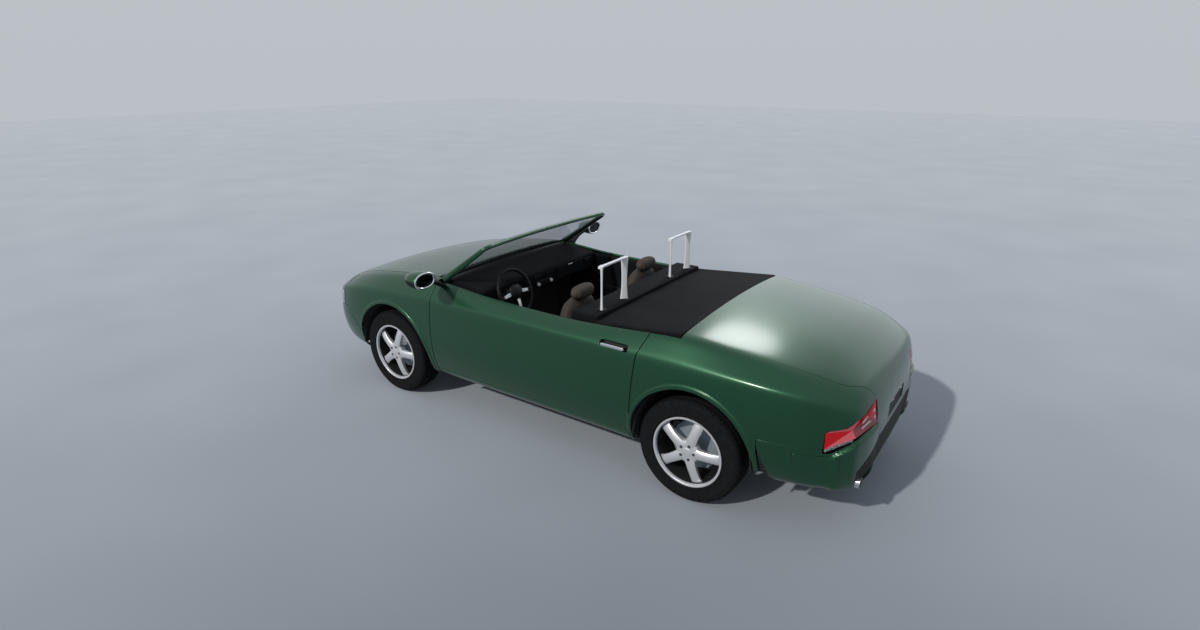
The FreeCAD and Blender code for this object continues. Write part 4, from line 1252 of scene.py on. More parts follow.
def placed(source, name, x, y, z, flip):
    """A copy of a mesh about the wheel's middle, carried to its axle; flip mirrors it for the right side."""
    me = source.data.copy()
    me.transform(Matrix.Translation((x, y, z)) @ Matrix.Diagonal((1, -1 if flip else 1, 1, 1)))
    if flip:
        me.flip_normals()
    return to_object(name, me)


class CAR_OT_wheels(bpy.types.Operator):
    """Makes tyres with tread, five-spoke wheels with bolts, and brake discs"""
    bl_idname = "car.wheels"
    bl_label = "Wheels"

    def execute(self, context):
        s = context.scene.car_sizes
        b = Build()
        tyre_mesh(b, s.tread_pitches)
        tyre = b.done("tyre_base", "road_tyre_rubber", outward=True, angle=38)
        b = Build()
        rim_mesh(b)
        rim = b.done("rim_base", ["silver_lacquered_alloy", "barrel_painted_shade"], outward=True, angle=42)
        b = Build()
        # the brake disc, its iron grey painted pale as painted light against the wheel's shade
        disc = [(0.01, -12), (62, -12), (66, -14), (68, -20), (70, -21), (155, -21), (157, -23), (157, -30),
                (150, -32), (150, -36), (157, -38), (157, -43), (155, -44), (70, -44), (66, -46), (0.01, -46)]
        turned(b, [(r / 1000, y / 1000) for r, y in disc], (0, 0, 0), 72)
        brake = b.done("disc_base", "machined_cast_iron", outward=True, angle=30)
        # the bolts sit on black discs, painted shade for their bores
        bolts = from_tree("bolts_base", bolt_tree(), Count=5, Circle_Radius=0.047, Bore_Radius=0.0095, Face=0.0962,
                          Bore_Finish=FINISHES[BLACK], Bolt_Finish=FINISHES[ZINC])
        bases = (("tyre", tyre), ("rim", rim), ("disc", brake), ("bolts", bolts))
        for end, x in (("front", AXLE_F), ("rear", AXLE_R)):
            for side, k in (("left", 1), ("right", -1)):
                tag, body = "%s_%s" % (end, side), "wheel_%s_%s" % (end, side)
                for name, base in bases:
                    ob = placed(base, "%s_%s_piece" % (name, tag), x, k * TRACK / 2, AXLE_Z, k < 0)
                    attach(ob, body)
                    if name in ("tyre", "rim"):
                        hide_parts("%s_%s" % (name, tag))
        for _, base in bases:
            bpy.data.objects.remove(base)
        return {"FINISHED"}


# ---- glass and its frame ------------------------------------------------------------------------------
# the direction the windscreen faces
SCREEN_OUT = np.array([0.305, 0, 0.448]) / 0.542


def screen_point(u, v, push=0.0):
    """On the windscreen: u across from -1 to 1, v up from 0 to 1, push out from it in mm."""
    x = 768 - 448 * v + (70 - 25 * v) * (1 - abs(u) ** 2.2) + push * 1.4
    y = u * (717 + 15 * v)
    z = 1035 + 305 * v + push
    return (X(x), y / 1000, z / 1000)


def grid_edge(w, h):
    """The places round the edge of a grid of points, w in a row and h rows."""
    return (list(range(w)) + [j * w + w - 1 for j in range(1, h)] + [(h - 1) * w + i for i in range(w - 2, -1, -1)]
            + [j * w for j in range(h - 2, 0, -1)])


class CAR_OT_windscreen(bpy.types.Operator):
    """Makes the bowed windscreen, its black edge band and the painted frame"""
    bl_idname = "car.windscreen"
    bl_label = "Windscreen"

    def execute(self, context):
        us, vs = np.linspace(-0.965, 0.965, 49), np.linspace(0.0, 0.945, 25)
        front = [[screen_point(u, v) for u in us] for v in vs]
        back = [[tuple(np.array(p) - SCREEN_OUT * 0.005) for p in row] for row in front]
        w, h = len(us), len(vs)
        verts = [p for row in front + back for p in row]
        faces, mats = [], []
        for j in range(h - 1):
            for i in range(w - 1):
                a = j * w + i
                edge = abs(us[i] + us[i + 1]) / 2 > 0.945 or vs[j] < 0.035 or vs[j + 1] > 0.93
                faces.append((a, a + 1, a + w + 1, a + w))
                c = a + w * h
                faces.append((c, c + w, c + w + 1, c + 1))
                mats += [1 if edge else 0] * 2
        ring = grid_edge(w, h)
        for p, q in zip(ring, ring[1:] + ring[:1]):
            faces.append((q, p, p + w * h, q + w * h))
            mats.append(1)
        ob = new_mesh("windscreen_pane", verts, faces, ["clear_laminated_glass", "black_enamel_band"], mats)
        face_out(ob.data)
        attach(ob, "shell")
        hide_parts("windscreen_glass")
        b = Build()
        # the frame: up the left pillar, round its corner, across the top and down the other side
        left, sizes = [], []
        for v in np.linspace(-0.05, 0.87, 16):
            left.append(screen_point(1.0, v, -2))
            sizes.append((0.0145 - 0.001 * v, 0.026 - 0.010 * v))
        for t in np.linspace(0, 90, 8)[1:]:
            a = math.radians(t)
            left.append(screen_point(1.0 - 0.075 * (1 - math.cos(a)), 0.87 + 0.085 * math.sin(a), -2))
            sizes.append((0.0132, 0.0155))
        top = [screen_point(u, 0.955, -2) for u in np.linspace(0.90, -0.90, 33)]
        right = [(x, -y, z) for x, y, z in reversed(left)]
        oval_tube(b, left + top + right, sizes + [(0.0130, 0.0152)] * len(top) + sizes[::-1], 20)
        # black seal between glass and frame
        seal = ([screen_point(0.972, v, -5) for v in np.linspace(0, 0.90, 12)]
                + [screen_point(u, 0.942, -5) for u in np.linspace(0.93, -0.93, 25)]
                + [screen_point(-0.972, v, -5) for v in np.linspace(0.90, 0, 12)])
        oval_tube(b, seal, [(0.007, 0.007)] * len(seal), 8, m=1)
        low = [screen_point(u, 0.004, -3) for u in np.linspace(-0.97, 0.97, 25)]
        oval_tube(b, low, [(0.006, 0.006)] * len(low), 8, m=1)
        ob = b.done("windscreen_surround", [PAINT, BLACK], outward=True, angle=40)
        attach(ob, "shell")
        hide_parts("windscreen_frame")
        return {"FINISHED"}


def oval_tube(build, path, size, n, m=0):
    """A closed-ended bar along a bent path; size is (across the screen, off the screen)."""
    path = [np.array(p) for p in path]
    loops = []
    for i, p in enumerate(path):
        d = path[min(i + 1, len(path) - 1)] - path[max(i - 1, 0)]
        d /= np.linalg.norm(d)
        s = np.cross(d, SCREEN_OUT)
        s /= np.linalg.norm(s)
        u = np.cross(s, d)
        loops.append([p + s * size[i][0] * across + u * size[i][1] * off for across, off in superellipse(n, 0.85)])
    solid(build, loops, m)


# ---- lamps -----------------------------------------------------------------------------------------
def tail_point(x, z, out=0.0):
    """A point of the lamp's corner on the flank, a little outside the body."""
    P = side_at([x], [z])
    return (P + gradient(P) * out)[0]


class CAR_OT_rear_lamps(bpy.types.Operator):
    """Makes the faceted wrap-around rear lamps with their light bars and clear lower strips"""
    bl_idname = "car.rear_lamps"
    bl_label = "Rear lamps"

    def execute(self, context):
        ring = fill(lamp_rear_line(), 0.012)
        N = gradient(ring)
        B = ring - ring.mean(axis=0)
        B /= np.linalg.norm(B, axis=1, keepdims=True)
        inner = ring - B * 0.004
        for side, flip in SIDES:
            b = Build()
            # dark tray and surround behind the lens
            loops = [inner + N * 0.0005, inner - N * 0.004, inner - N * 0.018]
            rings(b, [list(q) for q in loops], 0, cap1=True)
            # the lens as flat facets between its bends
            A, Bp = tail_point(-2086, 688, 0.001), tail_point(-2088, 590, 0.001)
            C, D = tail_point(-2196, 704, 0.006), tail_point(-2214, 655, 0.006)
            E = tail_point(-2216, 752, 0.004)
            F = end_at([432], [800], -1)[0] + np.array([-0.002, 0, 0])
            G = end_at([430], [664], -1)[0] + np.array([-0.003, 0, 0])
            H = end_at([520], [736], -1)[0] + np.array([-0.004, 0, 0])
            cell(b, [A, Bp, C], 1)
            cell(b, [Bp, D, C], 2)
            cell(b, [A, C, E], 3)
            cell(b, [C, D, G, H], 3)
            cell(b, [C, H, F, E], 1)
            cell(b, [H, G, F], 1)
            # two pale light bars on the inner part
            for f0, f1 in ((0.30, 0.40), (0.60, 0.70)):
                lo0, lo1 = D + (E - D) * f0, D + (E - D) * f1
                hi0, hi1 = G + (F - G) * f0, G + (F - G) * f1
                q = [lo + (hi - lo) * f
                     for lo, hi, f in ((lo0, hi0, 0.22), (lo0, hi0, 0.92), (lo1, hi1, 0.92), (lo1, hi1, 0.22))]
                slab(b, [p + np.array([-0.004, 0.003, 0.001]) for p in q], 0.003, 4)
            # clear strip below the outer part
            s0, s1 = tail_point(-2092, 572, 0.0), tail_point(-2206, 636, 0.001)
            t0, t1 = tail_point(-2090, 584, 0.001), tail_point(-2208, 650, 0.003)
            slab(b, [s0, s1, t1, t0], 0.006, 5)
            ob = b.done("tail_lamp_%s_piece" % side,
                        ["black_enamel_band", "red_moulded_lens", "pale_red_lens", "deep_red_lens", FROSTED,
                         "clear_moulded_lens"], mirrored=flip)
            face_out(ob.data, False)
            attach(ob, "shell")
            if not flip:
                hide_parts("tail_lamps")
        return {"FINISHED"}


def faced(pts):
    """Points in the order that faces out, their middle, and the direction in towards the body."""
    pts = [np.array(p) for p in pts]
    c = np.mean(pts, axis=0)
    inward = np.array([X(-1700), 0.2, 0.62]) - c
    inward /= np.linalg.norm(inward)
    if np.cross(pts[1] - pts[0], pts[2] - pts[0]) @ inward > 0:
        pts = pts[::-1]
    return pts, c, inward


def block(build, face, back, m):
    """A flat-sided block between two outlines."""
    k = len(face)
    sides = [(i, k + i, k + (i + 1) % k, (i + 1) % k) for i in range(k)]
    build.put(face + back, [tuple(range(k)), tuple(reversed(range(k, 2 * k)))] + sides, m, True)


def cell(build, pts, m, depth=0.010):
    """A flat-faced cell of lens: its face, and sides going in towards the body."""
    pts, c, inward = faced(pts)
    face = [p + (c - p) * 0.012 for p in pts]
    rings(build, [face, pts], m, flat=True)
    block(build, face, [p + inward * depth for p in pts], m)


def slab(build, pts, depth, m):
    """A flat strip set into the lamp."""
    pts, _, inward = faced(pts)
    block(build, pts, [p + inward * depth for p in pts], m)


class CAR_OT_front_lamps(bpy.types.Operator):
    """Makes the front lamps: clear lens, and two round reflectors with bulbs"""
    bl_idname = "car.front_lamps"
    bl_label = "Front lamps"

    def execute(self, context):
        line = lamp_front_line()
        for side, flip in SIDES:
            lens = panel("headlamp_lens_%s" % side, FRONT, [line], "clear_moulded_lens", rows(-1.1, 1.1, 0.02),
                         rows(0.55, 0.80, 0.015),
                         gap=0.003, roll=0.002, thick=0.004, rise=-0.001, mirrored=flip)
            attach(lens, "shell")
            b = Build()
            ring = fill(line, 0.014)
            N = gradient(ring)
            mid = ring.mean(axis=0)
            pull = mid - ring
            pull /= np.linalg.norm(pull, axis=1, keepdims=True)
            deep = np.array([-0.055, -0.012, 0])
            loops = [ring + pull * 0.003 - N * 0.006, ring + pull * 0.004 - N * 0.010,
                     (ring + pull * 0.020) * 0.96 + mid * 0.04 + deep]
            rings(b, [list(q) for q in loops], 0, cap1=True)
            for y, x, r in ((0.485, X(2062), 0.052), (0.615, X(1992), 0.048)):
                prof = [(r, 0.0), (r * 1.06, 0.004), (r * 1.06, -0.01), (r, 0.0), (r * 0.93, -0.012),
                        (r * 0.72, -0.028), (r * 0.42, -0.038), (0.004, -0.042)]
                turned(b, prof, (x, y, 0.682), 36, axis=0, m=1)
                turned(b, [(0.004, -0.03), (0.009, -0.028), (0.009, -0.006), (0.006, 0.0), (0.0005, 0.002)],
                       (x, y, 0.682), 16, axis=0, m=2)
            ob = b.done("headlamp_%s_inner" % side, [BLACK, CHROME, FROSTED], outward=True, mirrored=flip, angle=35)
            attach(ob, "shell")
            if not flip:
                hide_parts("headlamps")
        return {"FINISHED"}


# ---- outside fittings ----------------------------------------------------------------------------------
class CAR_OT_door_mirrors(bpy.types.Operator):
    """Makes the oval door mirrors: painted cap, black base and arm, chrome ring, and glass darkened as painted shade"""
    bl_idname = "car.door_mirrors"
    bl_label = "Door mirrors"

    def execute(self, context):
        mx, my, mz = X(657), 1.014, 1.106

        def oval(d, hy, hz, dz=0.0):
            return [(mx + d, my + hy * c, mz + dz + hz * s) for c, s in superellipse(48, 0.92)]

        for side, flip in SIDES:
            b = Build()
            shape = [(0.000, 0.86), (-0.003, 0.95), (0.004, 0.985), (0.020, 1.0), (0.045, 0.995), (0.075, 0.96),
                     (0.100, 0.88), (0.122, 0.76), (0.140, 0.60), (0.152, 0.42), (0.159, 0.22), (0.1605, 0.06)]
            loops = [oval(d, 0.095 * f, 0.0585 * f, 0.004 * (1 - f)) for d, f in shape]
            rings(b, loops, 0, cap1=True)
            for k, f in enumerate(b.f):
                z = np.mean([b.v[i][2] for i in f])
                d = np.mean([b.v[i][0] for i in f]) - mx
                # the lower part is the black base
                if z < mz + 0.003 + d * 0.05:
                    b.m[k] = 1
            # seam between cap and base, glass well, pane in glass darkened as painted shade, and bright ring
            rings(b, [oval(0.000, 0.0817, 0.0503), oval(0.010, 0.079, 0.048), oval(0.012, 0.060, 0.036)], 1)
            rings(b, [oval(0.0055, 0.0785, 0.0470), oval(0.0050, 0.076, 0.0455)], 3, cap1=True)
            loops = []
            for k in range(10):
                a = 2 * math.pi * k / 10
                loops.append(oval(-0.001 + 0.0065 * math.sin(a), 0.0845 * (1 + 0.10 * math.cos(a)),
                                  0.0515 * (1 + 0.16 * math.cos(a))))
            rings(b, loops + loops[:1], 2)
            arm = [(0.772, 0.994, 0.036, 0.018), (0.800, 1.010, 0.034, 0.020), (0.840, 1.032, 0.028, 0.019),
                   (0.880, 1.052, 0.025, 0.018), (0.920, 1.068, 0.027, 0.020), (0.950, 1.078, 0.030, 0.022),
                   (0.965, 1.083, 0.030, 0.022)]
            loops = [[(mx + 0.090 + w * c, y, z + h * s) for c, s in superellipse(24, 0.8)] for y, z, w, h in arm]
            solid(b, loops, 1)
            solid(b, [[(mx + 0.090 + w * cosine(t, 0.7), y + d * sine(t), z + 0.006 * sine(t)) for t in turn(24)]
                      for w, y, d, z in ((0.052, 0.776, 0.02, 0.992), (0.040, 0.778, 0.015, 1.004))], 1)
            ob = b.done("door_mirror_%s_piece" % side, [PAINT, BLACK, CHROME, "mirror_glass_painted_shade"],
                        outward=True, mirrored=flip, angle=45)
            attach(ob, "door_body_" + side)
            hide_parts("door_mirror_" + side)
        return {"FINISHED"}


class CAR_OT_door_handles(bpy.types.Operator):
    """Makes the bright pull handles in their dark cups"""
    bl_idname = "car.door_handles"
    bl_label = "Door handles"

    def execute(self, context):
        for side, flip in SIDES:
            b = Build()
            x0, x1 = X(-885), X(-712)
            loops = []
            for f in np.linspace(0, 1, 21):
                x = x0 + (x1 - x0) * f
                end = min(f, 1 - f) * (x1 - x0)
                k = math.sqrt(max(0.02, 1 - max(0, 1 - end / 0.007) ** 2))
                y = 0.8565 - 0.0015 * math.cos((f - 0.5) * math.pi)
                loops.append([(x, y + 0.0078 * k * c, 0.908 + 0.0100 * k * s) for c, s in superellipse(20, 0.6)])
            solid(b, loops)
            cup = [(-893, 896), (-886, 891), (-712, 891), (-705, 896), (-705, 924), (-712, 930), (-886, 930),
                   (-893, 924)]
            cup = fill(np.array(cup, float), 12)
            P = side_at(cup[:, 0], cup[:, 1])
            c = P.mean(axis=0)
            lip = P + (P - c) * 0.02 - np.array([0, 0.004, 0])
            floor = c + (P - c) * 0.93 - np.array([0, 0.030, 0])
            rings(b, [list(lip), list(P - np.array([0, 0.008, 0])), list(floor)], 1, cap1=True)
            for f in (0.06, 0.94):
                x = x0 + (x1 - x0) * f
                tube(b, [(x, 0.826, 0.908), (x, 0.852, 0.908)], [0.006, 0.006], 10, 1)
            ob = b.done("door_handle_%s_piece" % side, [CHROME, BLACK], mirrored=flip, angle=50)
            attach(ob, "door_body_" + side)
            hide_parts("door_handle_" + side)
        return {"FINISHED"}


class CAR_OT_hoops(bpy.types.Operator):
    """Makes the two roll hoops: flat twisted legs, waisted in the middle, under a thin bar"""
    bl_idname = "car.hoops"
    bl_label = "Roll hoops"

    def execute(self, context):
        b = Build()
        hx = X(-536)

        def leg(y, lean):
            ca, sa = math.cos(math.radians(lean)), math.sin(math.radians(lean))
            loops = []
            for f in np.linspace(0, 1, 17):
                z = 1.014 + 0.294 * f
                waist = math.sin(f * math.pi) ** 0.8
                L, T = 0.0275 - 0.0085 * waist, 0.0096 - 0.003 * waist
                loops.append([(hx - L * c * ca - T * s * sa, y + L * c * sa - T * s * ca, z)
                              for c, s in superellipse(24, 0.45)])
            solid(b, loops)

        for y0, y1 in ((0.308, 0.592), (-0.592, -0.308)):
            leg(y0 + 0.008, -54)
            leg(y1 - 0.008, 54)
            loops = []
            for f in np.linspace(0, 1, 21):
                y = y0 - 0.013 + (y1 - y0 + 0.026) * f
                k = abs(2 * f - 1) ** 2.5
                loops.append([(hx + (0.0105 + 0.0032 * k) * c, y, 1.3035 - 0.002 * k + (0.0075 + 0.002 * k) * s)
                              for c, s in superellipse(20, 0.5)])
            solid(b, loops)
            # foot plates with a raised edge
            for y in (y0 + 0.008, y1 - 0.008):
                loops = [[(hx + r * c, y + r * 0.95 * s, z) for c, s in superellipse(28, 0.6)]
                         for r, z in ((0.031, 1.0142), (0.031, 1.0165), (0.029, 1.0175))]
                solid(b, loops, 1)
        ob = b.done("roll_hoop_bars", ["satin_silver_lacquer", BLACK], outward=True, angle=50)
        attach(ob, "shell")
        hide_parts("roll_hoops")
        return {"FINISHED"}


def slat_tree():
    """Geometry Nodes: flat slats in a row, for the grille."""
    t, g, out = node_tree("slats", Count="Int", Pitch="Float", Size="Vector", Start="Vector", Finish="Material")
    line = add(t, "GeometryNodeMeshLine", None, Count=g["Count"], Start_Location=g["Start"],
               Offset=add(t, "ShaderNodeCombineXYZ", None, Z=g["Pitch"]).outputs[0])
    bar = add(t, "GeometryNodeMeshCube", None, Size=g["Size"])
    on = add(t, "GeometryNodeInstanceOnPoints", None, Points=line.outputs[0], Instance=bar.outputs[0],
             Rotation=(0, math.radians(18), 0))
    real = add(t, "GeometryNodeRealizeInstances", None, Geometry=on.outputs[0])
    mat = add(t, "GeometryNodeSetMaterial", None, Geometry=real.outputs[0], Material=g["Finish"])
    t.links.new(mat.outputs[0], out)
    return t


class CAR_OT_tail_and_nose_fittings(bpy.types.Operator):
    """Makes the exhaust tips, the blank plates with their surrounds, and the grille slats"""
    bl_idname = "car.tail_and_nose_fittings"
    bl_label = "Tail and nose fittings"

    def execute(self, context):
        b = Build()
        for k in (1, -1):
            prof = [(0.0285, 0.004), (0.0305, 0.0005), (0.0318, 0.0015), (0.032, 0.008), (0.0312, 0.05),
                    (0.030, 0.14), (0.024, 0.145), (0.024, 0.10), (0.0272, 0.03), (0.0285, 0.004)]
            turned(b, prof, (X(-2262), k * 0.566, 0.346), 40, axis=0)
            turned(b, [(0.0275, 0.060), (0.001, 0.062)], (X(-2262), k * 0.566, 0.346), 24, axis=0, m=1)
        tips = b.done("exhaust_tips", [CHROME, "sooty_steel"], outward=True, angle=50)
        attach(tips, "shell")
        b = Build()
        plate_piece(b, X(-2276), 0.172, 0.0385, 0.626, -1)
        tray = [(-180, 588), (-172, 582), (172, 582), (180, 588), (180, 664), (172, 671), (-172, 671), (-180, 664)]
        ring = along("tail", tray + tray[:1], 20)[:-1]
        c = ring.mean(axis=0)
        back = c + (ring - c) * 0.985 + np.array([0.011, 0, 0])
        back[:, 0] = X(-2272.5)
        rings(b, [list(c + (ring - c) * 1.012 + np.array([0.004, 0, 0])), list(back)], 1, cap1=True)
        # two lamps in the roof of the recess
        for y in (-0.10, 0.10):
            box_piece(b, (X(-2281), y - 0.02, 0.664), (X(-2274), y + 0.02, 0.670), 2)
        ob = b.done("rear_plate_and_recess", ["dark_blank_plate", BLACK, FROSTED], angle=40)
        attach(ob, "boot_body")
        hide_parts("number_plate_rear")
        b = Build()
        plate_piece(b, X(2197), 0.176, 0.044, 0.515, 1)
        ob = b.done("front_plate", ["dark_blank_plate"], angle=40)
        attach(ob, "shell")
        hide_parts("number_plate_front")
        ob = from_tree("grille_slats", slat_tree(), Count=7, Pitch=0.019, Size=(0.018, 0.66, 0.004),
                       Start=(X(2132), 0, 0.484),
                       Finish=FINISHES[BLACK])
        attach(ob, "shell")
        return {"FINISHED"}


def box_piece(build, lo, hi, m=0, r=0.002):
    """A block with eased edges."""
    (x0, y0, z0), (x1, y1, z1) = lo, hi
    r = min(r, (x1 - x0) / 2.2, (y1 - y0) / 2.2, (z1 - z0) / 2.2)
    loops = []
    for z, k in ((z0, r), (z0 + r, 0), (z1 - r, 0), (z1, r)):
        a, b, c, d = x0 + k, x1 - k, y0 + k, y1 - k
        loops.append([(a + r, c, z), (b - r, c, z), (b, c + r, z), (b, d - r, z), (b - r, d, z), (a + r, d, z),
                      (a, d - r, z), (a, c + r, z)])
    solid(build, loops, m, flat=True)


def plate_piece(build, x, hy, hz, zc, way):
    """A blank plate with round corners and a pressed edge."""
    loops = []
    for f, d in ((1.0, 0.0), (1.0, 0.0012), (0.985, 0.0018), (0.965, 0.0018), (0.955, 0.0012)):
        w, h = hy - (1 - f) * 0.16, hz - (1 - f) * 0.16
        loops.append([(x + way * d, w * c, zc + h * s) for c, s in superellipse(48, 0.22)])
    solid(build, loops)


# ---- seats ---------------------------------------------------------------------------------------------
SEAT_Y, HEAD_X = 0.420, -262
# the backrest, mm: height, half width, front and rear
BACK = ((405, 222, -140, -246), (560, 238, -132, -252), (760, 231, -160, -278), (900, 191, -170, -278),
        (985, 148, -180, -270), (1030, 104, -192, -254))


def round_off(t, low, high):
    """A pad's fullness along its length: round at both ends, over those shares of it."""
    return (math.sqrt(max(0.0, 1 - max(0, (t - (1 - high)) / high) ** 2))
            * math.sqrt(max(0.0, 1 - max(0, (low - t) / low) ** 2)))


def seat_back():
    """The left backrest, before it is padded out."""
    b = Build()
    table = np.array(BACK, float)
    loops = []
    for t in np.linspace(0, 1, 30):
        z = 405 + 622 * t
        w, f, r = [np.interp(z, table[:, 0], table[:, k]) for k in (1, 2, 3)]
        k = max(round_off(t, 0.06, 0.10), 0.12)
        cx, a = (f + r) / 2, (f - r) / 2 * (0.35 + 0.65 * k)
        loops.append([(X(cx + a * c), SEAT_Y + w * k * s / 1000, z / 1000) for c, s in superellipse(48, 0.62)])
    solid(b, loops)
    return b.done("seat_back_left_pad", LEATHER, outward=True)


def seat_cushion():
    """The left cushion, before it is padded out."""
    b = Build()
    loops = []
    for t in np.linspace(0, 1, 26):
        x = -166 + 492 * t
        lo = np.interp(x, (-180, 330), (414, 440))
        hi = np.interp(x, (-180, 340), (488, 528))
        k = max(round_off(t, 0.05, 0.10), 0.15)
        cz, a = (lo + hi) / 2, (hi - lo) / 2 * (0.4 + 0.6 * k)
        loops.append([(X(x), SEAT_Y + 0.232 * (0.8 + 0.2 * k) * c, (cz + a * s) / 1000)
                      for c, s in superellipse(48, 0.55)])
    solid(b, loops)
    return b.done("seat_cushion_left_pad", LEATHER, outward=True)


def headrest():
    """The left headrest, before it is padded out."""
    b = Build()
    loops = []
    for t in np.linspace(-1, 1, 21):
        k = math.sqrt(max(0.02, 1 - abs(t) ** 3.2))
        loops.append([(X(HEAD_X) + 0.050 * k * c, SEAT_Y + 0.114 * t, 1.046 + 0.050 * k * s)
                      for c, s in superellipse(40, 0.92)])
    solid(b, loops)
    return b.done("headrest_left_pad", LEATHER, outward=True)


def coords(me):
    """A mesh's points."""
    a = np.empty(len(me.vertices) * 3)
    me.vertices.foreach_get("co", a)
    return a.reshape(-1, 3)


SWELL_FRAMES, PRESSURE = 20, 4.0


def plump(ob, voxel, cap, grooves):
    """Blows a pad up a little inside its cover, holds it to a cap, then sews the channels in."""
    m = ob.modifiers.new("voxel", "REMESH")
    m.mode, m.voxel_size = "VOXEL", voxel
    apply_modifiers(ob)
    rest = coords(ob.data)
    normal = np.array([v.normal[:] for v in ob.data.vertices])
    c = ob.modifiers.new("cloth", "CLOTH")
    c.settings.use_pressure = True
    c.settings.uniform_pressure_force = PRESSURE
    c.settings.effector_weights.gravity = 0
    c.settings.quality = 4
    c.collision_settings.use_collision = False
    c.point_cache.frame_start, c.point_cache.frame_end = 1, SWELL_FRAMES
    for frame_number in range(1, SWELL_FRAMES + 1):
        bpy.context.scene.frame_set(frame_number)
    now = coords(ob.evaluated_get(bpy.context.evaluated_depsgraph_get()).data)
    ob.modifiers.clear()
    bpy.context.scene.frame_set(1)
    move = now - rest
    far = np.linalg.norm(move, axis=1, keepdims=True)
    now = rest + move * np.minimum(1, cap / np.maximum(far, 1e-9))
    for distance, depth, width in grooves(now):
        now = now - normal * (depth * np.exp(-(distance / width) ** 2))[:, None]
    ob.data.vertices.foreach_set("co", now.ravel())
    ob.data.update()
    s = ob.modifiers.new("smooth", "SUBSURF")
    s.levels = s.render_levels = 1
    apply_modifiers(ob)
    ob.data.polygons.foreach_set("use_smooth", [True] * len(ob.data.polygons))


class CAR_OT_seats(bpy.types.Operator):
    """Makes the two seats: padded back, cushion and headrest under leather, on a dark base"""
    bl_idname = "car.seats"
    bl_label = "Seats"

    def execute(self, context):
        cap = context.scene.car_sizes.padding
        back, cushion, head = seat_back(), seat_cushion(), headrest()

        def back_seams(p):
            u = p[:, 1] - SEAT_Y
            w = np.interp(p[:, 2], (0.4, 0.76, 1.0), (0.140, 0.135, 0.085))
            front = p[:, 0] > X(-205)
            yield np.where(front, np.abs(np.abs(u) - w), 1), 0.006, 0.006
            yield np.where(front & (np.abs(u) < w), np.abs(p[:, 2] - 0.66), 1), 0.005, 0.006
            yield np.where(front & (np.abs(u) < w), np.abs(p[:, 2] - 0.83), 1), 0.005, 0.006
            yield np.abs(p[:, 0] - X(np.interp(p[:, 2], (0.4, 1.03), (-205, -226)))), 0.003, 0.005

        def cushion_seams(p):
            u = p[:, 1] - SEAT_Y
            up = p[:, 2] > 0.455
            yield np.where(up, np.abs(np.abs(u) - 0.140), 1), 0.006, 0.006
            for x in (20, 190):
                yield np.where(up & (np.abs(u) < 0.140), np.abs(p[:, 0] - X(x)), 1), 0.005, 0.006
            yield np.abs(p[:, 2] - np.interp(p[:, 0], (X(-180), X(330)), (0.452, 0.480))), 0.003, 0.005

        def head_seams(p):
            yield np.abs(np.abs(p[:, 1] - SEAT_Y) - 0.095), 0.003, 0.005

        plump(back, 0.009, cap, back_seams)
        plump(cushion, 0.009, cap, cushion_seams)
        plump(head, 0.006, cap, head_seams)
        b = Build()
        for y in (-0.165, 0.165):
            tube(b, [(X(-145), SEAT_Y + y, 0.272), (X(275), SEAT_Y + y, 0.272)], [(0.016, 0.008)] * 2, 12, 1)
        loops = [[(X(65) + a * c, SEAT_Y + w * s, z) for c, s in superellipse(48, 0.35)]
                 for a, w, z in ((0.150, 0.150, 0.279), (0.160, 0.158, 0.283), (0.190, 0.172, 0.330),
                                 (0.206, 0.178, 0.372), (0.206, 0.178, 0.392), (0.200, 0.172, 0.397))]
        solid(b, loops)
        # recliner covers and the rods of the headrest
        for y in (-0.243, 0.243):
            turned(b, [(0.002, -0.012), (0.030, -0.012), (0.036, -0.008), (0.036, 0.008), (0.030, 0.012),
                       (0.002, 0.012)], (X(-175), SEAT_Y + y, 0.470), 24, m=0)
        for y in (-0.055, 0.055):
            tube(b, [(X(-222), SEAT_Y + y, 0.990), (X(-232), SEAT_Y + y, 1.030)], [0.006, 0.006], 10, 1)
        base = b.done("seat_base_left", [BLACK, ZINC], outward=True, angle=40)
        for ob, name, padded in ((back, "seat_back", 0.85), (cushion, "seat_cushion", 0.85), (head, "headrest", 0.9),
                                 (base, "seat_base", None)):
            right = to_object(name + "_right" + ("_pad" if padded else ""), ob.data.copy())
            right.data.transform(Matrix.Diagonal((1, -1, 1, 1)))
            right.data.flip_normals()
            for piece, side in ((ob, "left"), (right, "right")):
                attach(piece, "shell")
                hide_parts("seat_" + side)
        return {"FINISHED"}


